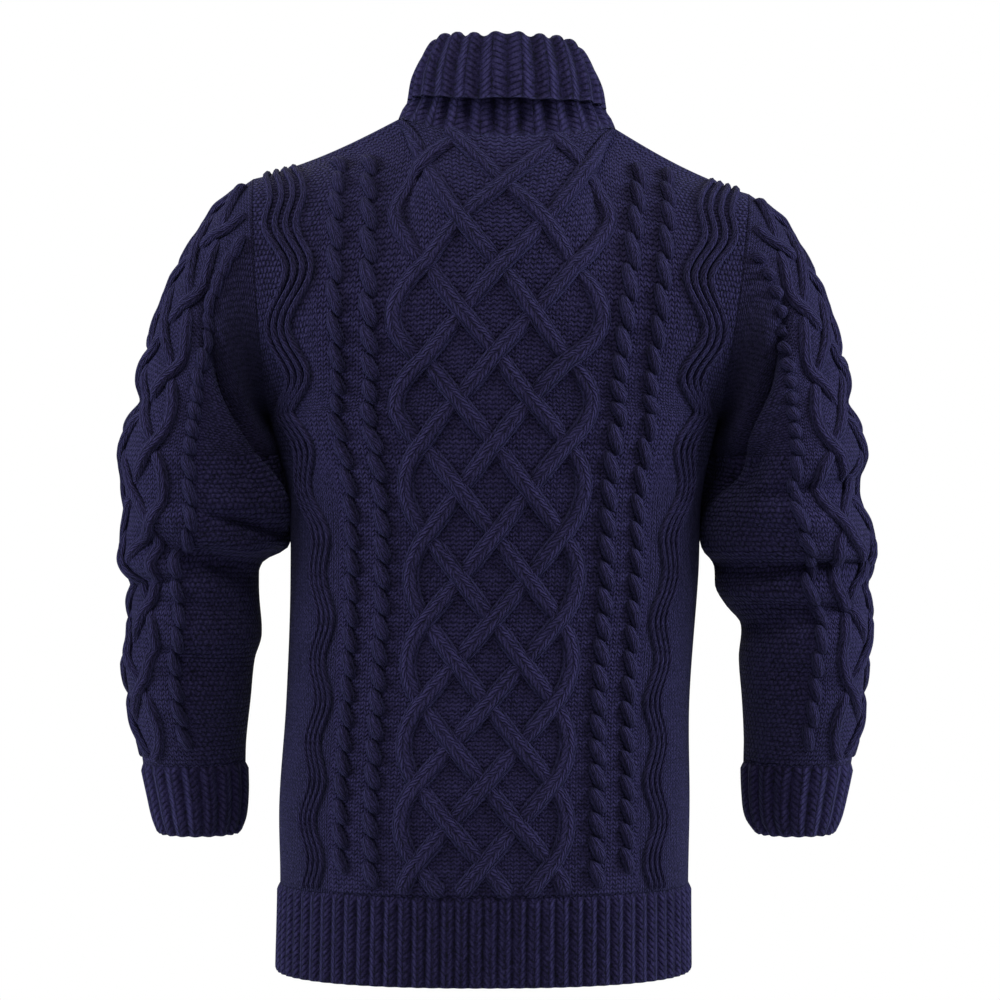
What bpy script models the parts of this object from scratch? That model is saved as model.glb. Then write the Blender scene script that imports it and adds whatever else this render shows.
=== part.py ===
"""Shawl collar cardigan in heavy cable knit, worn and filled out.

The garment faces -Y, so its back is at +Y. +X is the wearer's left. The origin lies
between the shoulders, at the height where the neck and shoulders carry the cloth.
Lengths are in metres. Every knitted piece is one closed wall: its outer face carries
the cables and ribs, and its inner face is plain.
"""

import math

import bmesh
import bpy
import numpy as np


def table(columns, *rows):
    """A table with named columns, one row for each section or fold."""
    return {name: [row[i] for row in rows] for i, name in enumerate(columns.split())}


GARMENT = "shawl_collar_cardigan"

# ---- walls and seams ----
WALL = 0.003
SEAM = 0.0003
HALF_SEAM = SEAM / 2

# ---- the body ----
HALF_GIRTH = 0.243
UNDERARM_Z = -0.237
HEM_END_Z = -0.699
HEM_MIDDLE_Z = -0.672
HEM_BACK_RIBS = 40
HEM_FRONT_RIBS = 18
BAND_HALF_WIDTH = 0.020
RING_POWER = 2.3
TORSO = table(
    "z half_width centre back_depth front_depth",
    (-0.700, 0.1705, 0.0097, 0.116, 0.116),
    (-0.626, 0.1695, 0.0090, 0.119, 0.120),
    (-0.560, 0.1705, 0.0088, 0.118, 0.122),
    (-0.475, 0.1675, 0.0060, 0.114, 0.119),
    (-0.370, 0.1695, 0.0005, 0.111, 0.116),
    (-0.300, 0.1725, 0.0000, 0.114, 0.116),
    (-0.237, 0.1870, 0.0010, 0.117, 0.116),
)

# ---- shoulders, armholes and neck ----
TIP_X = {1: 0.2008, -1: 0.2110}
TIP_Z = {1: -0.0386, -1: -0.0512}
ARMHOLE_BACK = 0.076
ARMHOLE_FRONT = 0.070
NECK_CENTRE = -0.010
NECK_HALF_WIDTH = 0.090
NECK_BACK_Y = 0.062
NECK_BACK_Z = -0.009
NECK_SIDE_Y = 0.010
NECK_SIDE_Z = {1: 0.011, -1: 0.003}
BACK_LINE = table(
    "rise depth",
    (0.00, 0.117),
    (0.25, 0.1175),
    (0.50, 0.113),
    (0.75, 0.098),
    (0.90, 0.079),
    (1.00, 0.062),
)
# the cut edge of each front: out is from the neck's centre line
NECKLINE = table(
    "z out y",
    (-0.237, 0.0203, -0.116),
    (-0.200, 0.0203, -0.1155),
    (-0.150, 0.0350, -0.104),
    (-0.100, 0.0510, -0.088),
    (-0.050, 0.0690, -0.062),
    (-0.015, 0.0830, -0.030),
    (0.007, 0.0900, 0.010),
)

BAND_SHARE = 0.16
# the cloth's length from the centre to the armhole: rise 0 at the underarm, 1 at the top
PANEL_REACH = table(
    "rise reach",
    (0.00, 0.243),
    (0.10, 0.228),
    (0.25, 0.212),
    (0.50, 0.204),
    (0.75, 0.208),
    (1.00, 0.227),
)
TRIM_START = 0.150
TURN_IN = 0.096

# ---- the knitted pattern, counted in half repeats of the lattice ----
PATTERN = table(
    "count z",
    (-1, -0.633),
    (0, -0.600),
    (4, -0.471),
    (8, -0.335),
    (12, -0.188),
    (16, -0.0493),
    (17.2, -0.009),
)
UNDERARM_COUNT = 8 + 8 / 3
TOP_COUNT = 17.2
BOTTOM_COUNT = -0.79
ROWS = (BOTTOM_COUNT, TOP_COUNT)
LATTICE_STEP = 0.030
LATTICE_STRANDS = 6
STRAND_HALF = 0.0065
STRAND_RISE = 0.0040
ROPES = table("start end rise", (0.092, 0.106, 0.0034), (0.119, 0.136, 0.0034))
WAVE_START = 0.144
WAVE_END = 0.180
WAVE_RIB = 0.018
WAVE_RISE = 0.0026
WAVE_SWING = 0.009
WAVE_COUNT = 2.0
WAVE_FADE_IN = 0.136
WAVE_FADE_OUT = 0.197
WAVE_FADE = 0.010
RIB_RISE = 0.0024
RIB_FADE = 0.005

# ---- the columns of points in a panel's wall, by distance along the cloth ----
LATTICE_COLUMNS = (0, 0.010, 0.020, 0.030, 0.040, 0.050, 0.060, 0.0683, 0.0744, 0.083)
SIDE_COLUMNS = (0.092, 0.099, 0.106, 0.119, 0.1275, 0.136, 0.144, 0.153, 0.162, 0.171, 0.180)
PLAIN_COLUMNS = (0.198, 0.221)
INNER_COLUMNS = (0, 0.013, 0.026, 0.039, 0.052, 0.065, 0.077, 0.092, 0.120, 0.150, 0.180, 0.210)
FINE_ROWS = 3
MEDIUM_ROWS = 2
SPARSE_ROWS = 0.6

# ---- the sleeves: x is from the garment's centre plane ----
ARM_TOP_Z = -0.270
CUFF_TOP_Z = -0.5285
CUFF_END_Z = -0.588
ARMS = {
    1: table(
        "z inner outer depth middle",
        (-0.270, 0.1880, 0.3100, 0.074, 0.004),
        (-0.300, 0.1800, 0.3080, 0.072, 0.004),
        (-0.325, 0.1765, 0.3060, 0.069, 0.004),
        (-0.345, 0.1755, 0.3100, 0.067, 0.003),
        (-0.357, 0.1960, 0.3120, 0.062, 0.001),
        (-0.373, 0.2000, 0.3050, 0.060, 0.000),
        (-0.420, 0.1980, 0.3045, 0.060, -0.006),
        (-0.440, 0.2040, 0.3095, 0.059, -0.009),
        (-0.475, 0.2080, 0.3060, 0.055, -0.014),
        (-0.508, 0.2120, 0.2985, 0.050, -0.020),
        (-0.529, 0.2130, 0.2965, 0.046, -0.024),
        (-0.555, 0.2130, 0.2915, 0.042, -0.027),
        (-0.575, 0.2150, 0.2870, 0.039, -0.028),
        (-0.588, 0.2200, 0.2820, 0.034, -0.029),
    ),
    -1: table(
        "z inner outer depth middle",
        (-0.270, 0.1880, 0.3060, 0.074, 0.004),
        (-0.300, 0.1800, 0.3000, 0.072, 0.004),
        (-0.325, 0.1765, 0.3080, 0.069, 0.004),
        (-0.345, 0.1765, 0.3150, 0.067, 0.003),
        (-0.360, 0.1850, 0.3190, 0.064, 0.001),
        (-0.378, 0.1860, 0.3080, 0.061, 0.000),
        (-0.395, 0.1960, 0.3140, 0.060, -0.003),
        (-0.410, 0.2080, 0.3130, 0.059, -0.005),
        (-0.440, 0.2070, 0.3100, 0.058, -0.009),
        (-0.475, 0.2100, 0.3080, 0.055, -0.014),
        (-0.508, 0.2120, 0.3030, 0.050, -0.020),
        (-0.529, 0.2120, 0.3000, 0.046, -0.024),
        (-0.555, 0.2130, 0.2950, 0.042, -0.027),
        (-0.575, 0.2160, 0.2900, 0.039, -0.028),
        (-0.588, 0.2250, 0.2840, 0.034, -0.029),
    ),
}
# creases across the sleeves: turn is round the arm, 0 at the underarm seam, 0.5 outside
CREASES = {
    1: table(
        "turn z lean reach width depth",
        (0.24, -0.352, 0.10, 0.16, 0.010, 0.009),
        (0.30, -0.320, -0.06, 0.14, 0.010, -0.005),
        (0.28, -0.392, 0.05, 0.16, 0.011, 0.006),
        (0.75, -0.335, -0.08, 0.16, 0.011, 0.008),
        (0.72, -0.385, -0.04, 0.15, 0.011, 0.006),
        (0.36, -0.190, 0.10, 0.10, 0.014, 0.005),
        (0.26, -0.450, -0.05, 0.12, 0.012, 0.004),
        (0.50, -0.224, 0.00, 0.14, 0.013, 0.010),
    ),
    -1: table(
        "turn z lean reach width depth",
        (0.24, -0.368, 0.04, 0.20, 0.010, 0.009),
        (0.27, -0.322, -0.07, 0.16, 0.010, -0.006),
        (0.26, -0.405, 0.03, 0.18, 0.011, 0.007),
        (0.74, -0.345, -0.06, 0.16, 0.011, 0.008),
        (0.72, -0.395, -0.04, 0.15, 0.011, 0.006),
        (0.36, -0.200, 0.10, 0.10, 0.014, 0.005),
        (0.25, -0.455, -0.05, 0.12, 0.012, 0.004),
        (0.50, -0.226, 0.00, 0.14, 0.013, 0.008),
    ),
}
SLEEVE_HALF_GIRTH = table("reach girth", (0.0, 0.262), (1.0, 0.215), (1.5, 0.195), (2.0, 0.140))
SLEEVE_STEP = 0.024
SLEEVE_STRANDS = 4
SLEEVE_ROPE = (0.057, 0.070)
SLEEVE_COUNTS = 15.5
SLEEVE_FIRST_COUNT = 0.5
# how the cloth leaves the armhole and falls into the arm, under it (0) and outside it (1)
SLEEVE_DROOP = table(
    "outside droop leave arrive slant",
    (0, 0.10, 0.36, 0.42, 0.00),
    (1, 0.58, 0.24, 0.36, 0.14),
)
SLEEVE_TOP_FADE = 0.08
SLEEVE_END_FADE = 0.05
SLEEVE_COLUMNS = (0, 0.012, 0.024, 0.036, 0.045, 0.057, 0.0635, 0.070)
SLEEVE_INNER_COLUMNS = (0, 0.036, 0.070)
SLEEVE_FOLDS = (0.6, 1.7)
CUFF_RIBS = 18
CUFF_TURN_IN_Z = -0.570

# ---- the collar: way runs from the back of the neck (0) by the shoulder to the V (1) ----
COLLAR = table(
    "way roll_in roll_up edge_out edge_up radius",
    (0.00, 0.009, 0.081, 0.008, 0.032, 0.0055),
    (0.15, 0.020, 0.072, -0.001, 0.026, 0.0055),
    (0.30, 0.027, 0.048, -0.008, 0.014, 0.0058),
    (0.45, 0.019, 0.040, 0.012, 0.010, 0.0065),
    (0.65, 0.017, 0.026, 0.017, 0.007, 0.0062),
    (0.85, 0.015, 0.013, 0.014, 0.006, 0.0055),
    (1.00, 0.013, 0.005, 0.011, 0.006, 0.0045),
)
SHOULDER_WAY = 0.30
TURN_OVER_WAY = 0.35
FRONT_LEAN = 0.007
STAND_BOW = 0.001
FALL_BOW = 0.003
ROLL_WIDTH = 0.9
COLLAR_END_Z = -0.197
COLLAR_SEAM = 0.0005
COLLAR_RIBS = 42
COLLAR_RIB_RISE = 0.0020

# ---- bands and buttons ----
BAND_TOP_Z = -0.2005
BAND_RIBS = 41
BAND_RIB_RISE = 0.0012
BAND_LAP = 0.0046
BUTTON_COUNT = 5
BUTTON_TOP_Z = -0.225
BUTTON_END_Z = -0.665
BUTTON_RADIUS = 0.0115
BUTTON_THICK = 0.0042
BUTTON_SIDES = 12

# ---- colours ----
NAVY = (0.014, 0.013, 0.032)
HORN = (0.030, 0.022, 0.018)


def read(rows, name, at, by=None):
    """A column's value at a height or count, along a smooth curve through the rows."""
    keys = rows[by or next(iter(rows))]
    values = rows[name]
    if keys[0] > keys[-1]:
        keys = keys[::-1]
        values = values[::-1]
    last = len(keys) - 1
    if at <= keys[0]:
        return values[0]
    if at >= keys[last]:
        return values[last]
    i = int(np.searchsorted(keys, at, side="right")) - 1
    span = keys[i + 1] - keys[i]
    t = (at - keys[i]) / span
    slopes = []
    for k in (i, i + 1):
        low, high = max(k - 1, 0), min(k + 1, last)
        slopes.append((values[high] - values[low]) / (keys[high] - keys[low]) * span)
    return (
        (2 * t**3 - 3 * t**2 + 1) * values[i]
        + (t**3 - 2 * t**2 + t) * slopes[0]
        + (3 * t**2 - 2 * t**3) * values[i + 1]
        + (t**3 - t**2) * slopes[1]
    )


def unit(vector):
    return np.asarray(vector) / np.linalg.norm(vector)


def row_height(count):
    return read(PATTERN, "z", count)


def arc_angles():
    """Angles along a quarter ring, and the share of the cloth's length that they reach."""
    angles = np.linspace(0, math.pi / 2, 241)
    across = np.sin(angles) ** (2 / RING_POWER)
    deep = 0.68 * np.cos(angles) ** (2 / RING_POWER)
    steps = np.hypot(np.diff(across), np.diff(deep))
    share = np.concatenate([[0], np.cumsum(steps)])
    return angles, share / share[-1]


RING_ANGLES, RING_SHARES = arc_angles()


def ring(u, z, face):
    """The torso's wall at u along the cloth from its centre; face is 'back' or 'front'."""
    angle = float(np.interp(abs(u) / HALF_GIRTH, RING_SHARES, RING_ANGLES))
    across = math.sin(angle) ** (2 / RING_POWER) * read(TORSO, "half_width", z)
    deep = max(math.cos(angle), 0) ** (2 / RING_POWER) * read(TORSO, face + "_depth", z)
    y = deep if face == "back" else -deep
    return np.array([read(TORSO, "centre", z) + math.copysign(across, u), y, z])


def armhole(side, turn):
    """The armhole seam: turn 0 at the underarm, 0.25 at the back, 0.5 at the shoulder."""
    angle = 2 * math.pi * turn
    rise = ((1 - math.cos(angle)) / 2) ** 0.85
    deep = math.copysign(abs(math.sin(angle)) ** 0.9, math.sin(angle))
    start = ring(side * HALF_GIRTH, UNDERARM_Z, "back")
    x = start[0] + (side * TIP_X[side] - start[0]) * rise
    y = deep * (ARMHOLE_BACK if deep > 0 else ARMHOLE_FRONT)
    return np.array([x, y, UNDERARM_Z + (TIP_Z[side] - UNDERARM_Z) * rise])


def armhole_normal(side, turn):
    """The normal that the body and the sleeve share, in the flat plane of the armhole."""
    angle = 2 * math.pi * turn
    top, low = armhole(side, 0.5), armhole(side, 0)
    lean = (top[0] - low[0]) / (top[2] - low[2])
    return unit([-lean * math.cos(angle), math.sin(angle), -math.cos(angle)])


def neck_corner(side):
    return np.array([NECK_CENTRE + side * NECK_HALF_WIDTH, NECK_SIDE_Y, NECK_SIDE_Z[side]])


def shoulder(side, share):
    """The shoulder seam, from the neck's corner to the armhole, a little hollow."""
    start, end = neck_corner(side), armhole(side, 0.5)
    drop = 0.004 * math.sin(math.pi * share)
    return start + (end - start) * share - np.array([0, 0, drop])


def back_top(side, share):
    """The top of the back: half the neck's curve, then the shoulder seam."""
    neck = NECK_HALF_WIDTH / PANEL_REACH["reach"][-1]
    if share > neck:
        return shoulder(side, (share - neck) / (1 - neck))
    angle = math.pi / 2 * share / neck
    corner = neck_corner(side)
    x = NECK_CENTRE + (corner[0] - NECK_CENTRE) * math.sin(angle)
    y = corner[1] + (NECK_BACK_Y - corner[1]) * math.cos(angle)
    return np.array([x, y, NECK_BACK_Z + (corner[2] - NECK_BACK_Z) * math.sin(angle) ** 2])


def ease(v):
    v = min(max(v, 0), 1)
    return v * v * (3 - 2 * v)


def rise_of(count):
    return (count - UNDERARM_COUNT) / (TOP_COUNT - UNDERARM_COUNT)


def chest(start, end, share, middle):
    """A point between two others, on the rounded level section that passes through both."""
    xs = [abs(point[0] - middle) ** RING_POWER for point in (start, end)]
    ys = [max(abs(point[1]), 0.001) ** RING_POWER for point in (start, end)]
    across, deep = np.linalg.solve([[xs[0], ys[0]], [xs[1], ys[1]]], [1, 1])
    reach = []
    for y in ys:
        angle = math.acos(min((y * deep) ** 0.5, 1))
        reach.append(np.interp(angle, RING_ANGLES, RING_SHARES))
    angle = np.interp(reach[0] + (reach[1] - reach[0]) * share, RING_SHARES, RING_ANGLES)
    x = math.sin(angle) ** (2 / RING_POWER) / across ** (1 / RING_POWER)
    y = max(math.cos(angle), 0) ** (2 / RING_POWER) / deep ** (1 / RING_POWER)
    z = start[2] + (end[2] - start[2]) * share
    return np.array([middle + math.copysign(x, end[0]), math.copysign(y, start[1]), z])


def along_panel(u, v):
    """Where column u lies along the cloth from the centre: the armhole trims the side."""
    if u <= TRIM_START:
        return u
    length = read(PANEL_REACH, "reach", v)
    return TRIM_START + (u - TRIM_START) * (length - TRIM_START) / (HALF_GIRTH - TRIM_START)


def back_point(u, count):
    if count <= UNDERARM_COUNT:
        return ring(u, row_height(count), "back")
    side = -1 if u < 0 else 1
    v = rise_of(count)
    low_centre = read(TORSO, "centre", UNDERARM_Z)
    share = along_panel(abs(u), v) / read(PANEL_REACH, "reach", v)

    def section(at):
        x = low_centre + (NECK_CENTRE - low_centre) * at
        z = row_height(UNDERARM_COUNT + at * (TOP_COUNT - UNDERARM_COUNT))
        return chest(
            np.array([x, read(BACK_LINE, "depth", at), z]), armhole(side, at * 0.5), share, x
        )

    lift = ease((v - 0.35) / 0.65)
    return section(v) + lift * (back_top(side, share) - section(1))


def neckline(side, share):
    """The cut edge of a front, from the underarm's height (0) to the neck's corner (1)."""
    z = UNDERARM_Z + (NECKLINE["z"][-1] - UNDERARM_Z) * share
    out = max(read(NECKLINE, "out", z), NECKLINE["out"][0])
    y = read(NECKLINE, "y", z)
    low = read(TORSO, "centre", UNDERARM_Z)
    past_band = max(share - BAND_SHARE, 0) / (1 - BAND_SHARE)
    band_edge = abs(ring(side * (BAND_HALF_WIDTH + SEAM), UNDERARM_Z, "front")[0] - low)
    start, end = NECKLINE["out"][0], NECKLINE["out"][-1]
    out = band_edge + (out - start) * (end - band_edge) / (end - start)
    x = low + (NECK_CENTRE - low) * past_band + side * out
    return np.array([x, y, z + (NECK_SIDE_Z[side] - NECKLINE["z"][-1]) * share])


def front_point(side, u, count):
    """A front's wall; u runs from its edge at the band to the side seam."""
    if count <= UNDERARM_COUNT:
        return ring(side * u, row_height(count), "front")
    v = rise_of(count)
    start, end = neckline(side, v), armhole(side, 1 - v * 0.5)
    cut = neck_cut(v)
    share = (front_reach(u, v) - cut) / (read(PANEL_REACH, "reach", v) - cut)
    straight = start + (end - start) * share
    flat = ease((v - 0.4) / 0.45)
    point = straight
    if flat < 1:
        rounded = chest(start, end, share, read(TORSO, "centre", UNDERARM_Z))
        point = rounded + (straight - rounded) * flat
    top_share = neck_share(front_reach(u, 1))
    lift = ease((v - 0.35) / 0.65)
    top_straight = neckline(side, 1) + (armhole(side, 0.5) - neckline(side, 1)) * top_share
    return point + lift * (shoulder(side, top_share) - top_straight)


def neck_cut(v):
    """How far from the centre the V has cut into a front, along the cloth."""
    z = UNDERARM_Z + (NECKLINE["z"][-1] - UNDERARM_Z) * max(v, 0)
    return min(read(NECKLINE, "out", z), NECK_HALF_WIDTH)


def neck_share(reach):
    return (reach - NECK_HALF_WIDTH) / (PANEL_REACH["reach"][-1] - NECK_HALF_WIDTH)


def front_reach(u, v):
    """Where column u lies along a front from the centre; the V gathers the inner ones."""
    if u >= TURN_IN:
        return along_panel(u, v)
    start = BAND_HALF_WIDTH + SEAM
    cut = neck_cut(v)
    return cut + (u - start) * (TURN_IN - cut) / (TURN_IN - start)


# ---- the relief of the knitting ----
def strand_places(count, step, strands):
    """Where the lattice's strands lie across the panel at a row, and turn at its sides."""
    reach = strands / 2 * step
    places = []
    for k in range(strands):
        path = (1 + 2 * k + count) * step % (4 * reach)
        place = path - reach if path <= 2 * reach else 3 * reach - path
        past = abs(place) - (reach - step)
        if past > 0:
            place = math.copysign(reach - step + past - past**2 / (2 * step), place)
        places.append(place)
    return places


def bump(distance, half):
    """A rounded cord's height, 1 on its centre line and 0 past its half width."""
    share = abs(distance) / half
    return math.sqrt(1 - share**2) if share < 1 else 0.0


def panel_relief(u, count):
    """How far the knitting stands out at u from the centre, in a row of the pattern."""
    u = abs(u)
    rise = 0.0
    if u < 3 * LATTICE_STEP:
        for place in strand_places(count, LATTICE_STEP, LATTICE_STRANDS):
            rise = max(rise, STRAND_RISE * bump(u - place, STRAND_HALF))
    for start, end, height in zip(ROPES["start"], ROPES["end"], ROPES["rise"]):
        rise = max(rise, height * bump(u - (start + end) / 2, (end - start) / 2))
    if WAVE_START < u < WAVE_END:
        rise = WAVE_RISE * (1 - math.cos(2 * math.pi * (u - WAVE_START) / WAVE_RIB)) / 2
    return rise


def wave_shift(u, count):
    """How far the wavy ribs swing sideways at a row."""
    u_size = abs(u)
    fade_in = min(max((u_size - WAVE_FADE_IN) / WAVE_FADE, 0), 1)
    fade_out = min(max((WAVE_FADE_OUT - u_size) / WAVE_FADE, 0), 1)
    swing = WAVE_SWING * min(fade_in, fade_out) * -math.cos(2 * math.pi * count / WAVE_COUNT)
    return swing if u > 0 else -swing


# ---- the mesh of a wall ----
class Wall:
    """A closed wall made from columns of points; each column may have rows of its own."""

    def __init__(self, name, colour):
        self.name = name
        self.colour = colour
        self.points = []
        self.lifts = []
        self.faces = []

    def column(self, across, rows, place, outer):
        ids = []
        for row in rows:
            point, normal, lift = place(across, row)
            height = WALL / 2 + lift if outer else -WALL / 2
            self.points.append(point(outer) + normal * height)
            self.lifts.append(lift)
            ids.append(len(self.points) - 1)
        return across, list(rows), ids

    def ridge(self, i, j):
        """Ranks a face's edge: best along a cable, and last from its top to the ground."""
        low, high = sorted((round(self.lifts[i], 5), round(self.lifts[j], 5)))
        return low, -high

    def zip_lines(self, ids_a, at_a, ids_b, at_b, flip):
        """Triangles between two lines of points, each advancing where it lags."""
        a, b = 0, 0
        while a < len(ids_a) - 1 or b < len(ids_b) - 1:
            next_a = at_a[a + 1] if a < len(ids_a) - 1 else math.inf
            next_b = at_b[b + 1] if b < len(ids_b) - 1 else math.inf
            level = next_a == next_b and at_a[a] == at_b[b]
            if level and self.ridge(ids_a[a], ids_b[b + 1]) > self.ridge(ids_a[a + 1], ids_b[b]):
                next_a = math.inf
            if next_a <= next_b:
                face = (ids_a[a], ids_a[a + 1], ids_b[b])
                a += 1
            else:
                face = (ids_a[a], ids_b[b + 1], ids_b[b])
                b += 1
            self.faces.append(face[::-1] if flip else face)

    def strips(self, columns, wrap, flip):
        pairs = list(zip(columns, columns[1:]))
        if wrap:
            pairs.append((columns[-1], columns[0]))
        for (_, rows_a, ids_a), (_, rows_b, ids_b) in pairs:
            self.zip_lines(ids_a, rows_a, ids_b, rows_b, flip)

    def build(self, outer_columns, inner_columns, place):
        """outer_columns and inner_columns are (across, rows); place gives a point."""
        outer = [self.column(across, rows, place, True) for across, rows in outer_columns]
        inner = [self.column(across, rows, place, False) for across, rows in inner_columns]
        self.strips(outer, False, False)
        self.strips(inner, False, True)
        for end, flip in ((0, True), (-1, False)):
            outer_ids = [column[2][end] for column in outer]
            inner_ids = [column[2][end] for column in inner]
            outer_at = [column[0] for column in outer]
            inner_at = [column[0] for column in inner]
            self.zip_lines(outer_ids, outer_at, inner_ids, inner_at, flip)
        for end, flip in ((0, False), (-1, True)):
            _, outer_rows, outer_ids = outer[end]
            _, inner_rows, inner_ids = inner[end]
            self.zip_lines(outer_ids, outer_rows, inner_ids, inner_rows, flip)
        return self.finish()

    def finish(self):
        mesh = bpy.data.meshes.new(self.name)
        mesh.from_pydata([tuple(point) for point in self.points], [], self.faces)
        shape = bmesh.new()
        shape.from_mesh(mesh)
        bmesh.ops.recalc_face_normals(shape, faces=shape.faces)
        if shape.calc_volume(signed=True) < 0:
            bmesh.ops.reverse_faces(shape, faces=shape.faces)
        shape.to_mesh(mesh)
        shape.free()
        return add_piece(self.name, mesh, self.colour)


def finish_material(name, colour, roughness):
    material = bpy.data.materials.get(name) or bpy.data.materials.new(name)
    material.use_nodes = True
    shader = material.node_tree.nodes["Principled BSDF"]
    shader.inputs["Base Color"].default_value = (*colour, 1)
    shader.inputs["Roughness"].default_value = roughness
    shader.inputs["Metallic"].default_value = 0
    material.diffuse_color = (*colour, 1)
    return material


def add_piece(name, mesh, colour):
    piece = bpy.data.objects.new(name, mesh)
    roughness = 0.95 if colour is NAVY else 0.4
    mesh.materials.append(finish_material(name + "_finish", colour, roughness))
    bpy.data.collections[GARMENT].objects.link(piece)
    return piece


def normal_of(surface, a, b, limits_a, limits_b, step_a=0.002, step_b=0.04):
    """The surface's normal from nearby points, kept inside the surface's own limits."""
    a0, a1 = max(a - step_a, limits_a[0]), min(a + step_a, limits_a[1])
    b0, b1 = max(b - step_b, limits_b[0]), min(b + step_b, limits_b[1])
    return unit(np.cross(surface(a1, b) - surface(a0, b), surface(a, b1) - surface(a, b0)))


def steps_between(low, high, per_count):
    """Rows of the pattern between two counts, on whole parts of a half repeat."""
    first = math.ceil(low * per_count + 0.35)
    last = math.floor(high * per_count - 0.35)
    return [low] + [k / per_count for k in range(first, last + 1)] + [high]


def back_panel():
    edge = HALF_GIRTH - HALF_SEAM

    def place(u, count):
        at = u + wave_shift(u, count)
        side = -1 if u < 0 else 1

        def point(outer):
            return back_point(at if outer else u, count)

        normal = -normal_of(back_point, at, count, (-edge, edge), ROWS)
        on_edge = abs(abs(u) - edge) < 1e-6
        if on_edge and count >= UNDERARM_COUNT - 1e-6:
            normal = armhole_normal(side, rise_of(count) * 0.5)
        elif count > TOP_COUNT - 0.05:
            normal = top_normal(side, along_panel(abs(u), 1), 1)
        elif on_edge:
            normal = side_normal(side, count)
        return point, normal, panel_relief(u, count) * edge_fade(count)

    low, high = BOTTOM_COUNT, TOP_COUNT - 0.01
    fine = steps_between(low, high, FINE_ROWS)
    medium = steps_between(low, high, MEDIUM_ROWS)
    coarse = steps_between(low, high, SPARSE_ROWS)
    half = [(u, fine) for u in LATTICE_COLUMNS] + [(u, medium) for u in SIDE_COLUMNS]
    half += [(u, coarse) for u in PLAIN_COLUMNS] + [(edge, medium)]
    outer = [(-u, rows) for u, rows in half[:0:-1]] + half
    inner_half = [(u, coarse) for u in INNER_COLUMNS] + [(edge, medium)]
    inner = [(-u, rows) for u, rows in inner_half[:0:-1]] + inner_half
    return Wall("back", NAVY).build(outer, inner, place)


def edge_fade(count):
    """The relief sinks into the seams at a panel's ends."""
    low = min(max((count - BOTTOM_COUNT) / 0.2, 0), 1)
    high = min(max((TOP_COUNT - 0.01 - count) / 0.2, 0), 1)
    return min(low, high)


def side_normal(side, count):
    """The normal that both panels share along a side seam."""
    z = row_height(count)
    slope = (read(TORSO, "half_width", z + 0.01) - read(TORSO, "half_width", z - 0.01)) / 0.02
    return unit([side, 0, -slope])


def top_normal(side, u, face):
    """The normal that back, front and collar share along the neck and the shoulder."""
    if u >= NECK_HALF_WIDTH:
        share = neck_share(u)
        corner, over = unit([0.6 * side, 0, 0.8]), unit([0.38 * side, 0, 0.92])
        return unit(corner + (over - corner) * min(share / 0.15, 1))
    angle = math.pi / 2 * u / NECK_HALF_WIDTH
    outward = np.array([side * math.sin(angle), face * math.cos(angle), 0])
    return unit(outward * 0.6 + np.array([0, 0, 0.8]))


def neckline_normal(side, share):
    """The normal that a front and the collar share along the V."""
    low, corner = unit([0, -1, 0.1]), unit([0.6 * side, 0, 0.8])
    return unit(low + (corner - low) * max(share, 0) ** 1.5)


def front_panel(side, name):
    low_edge = BAND_HALF_WIDTH + SEAM
    edge = HALF_GIRTH - HALF_SEAM

    def surface(u, count):
        return front_point(side, u, count)

    def place(u, count):
        at = u + wave_shift(u, count)

        def point(outer):
            return surface(at if outer else u, count)

        normal = side * normal_of(surface, at, count, (low_edge, edge), ROWS)
        if u == low_edge and count > UNDERARM_COUNT:
            normal = neckline_normal(side, rise_of(count))
        on_edge = abs(u - edge) < 1e-6
        if on_edge and count >= UNDERARM_COUNT - 1e-6:
            normal = armhole_normal(side, 1 - rise_of(count) * 0.5)
        elif count > TOP_COUNT - 0.05:
            normal = top_normal(side, max(front_reach(u, 1), NECK_HALF_WIDTH), -1)
        elif on_edge:
            normal = side_normal(side, count)
        real = front_reach(u, max(rise_of(count), 0)) if u < TURN_IN else u
        in_edge = min(max((u - low_edge) / 0.006, 0), 1)
        return point, normal, panel_relief(real, count) * edge_fade(count) * in_edge

    low, high = BOTTOM_COUNT, TOP_COUNT - 0.01
    medium = steps_between(low, high, MEDIUM_ROWS)
    coarse = steps_between(low, high, SPARSE_ROWS)
    lattice = [u for u in LATTICE_COLUMNS if u > low_edge + 0.004]
    outer = [(low_edge, medium)] + [(u, medium) for u in lattice]
    outer += [(u, medium) for u in SIDE_COLUMNS]
    outer += [(u, coarse) for u in PLAIN_COLUMNS] + [(edge, medium)]
    inner = [(low_edge, medium)] + [(u, coarse) for u in INNER_COLUMNS if u > 0.03]
    inner.append((edge, medium))
    return Wall(name, NAVY).build(outer, inner, place)


# ---- sleeves ----
def arm_ring(side, turn, z):
    rows = ARMS[side]
    inner, outer = read(rows, "inner", z), read(rows, "outer", z)
    angle = 2 * math.pi * turn
    x = (inner + outer) / 2 - (outer - inner) / 2 * math.cos(angle)
    y = read(rows, "middle", z) + read(rows, "depth", z) * math.sin(angle)
    return np.array([side * x, y, z])


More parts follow.
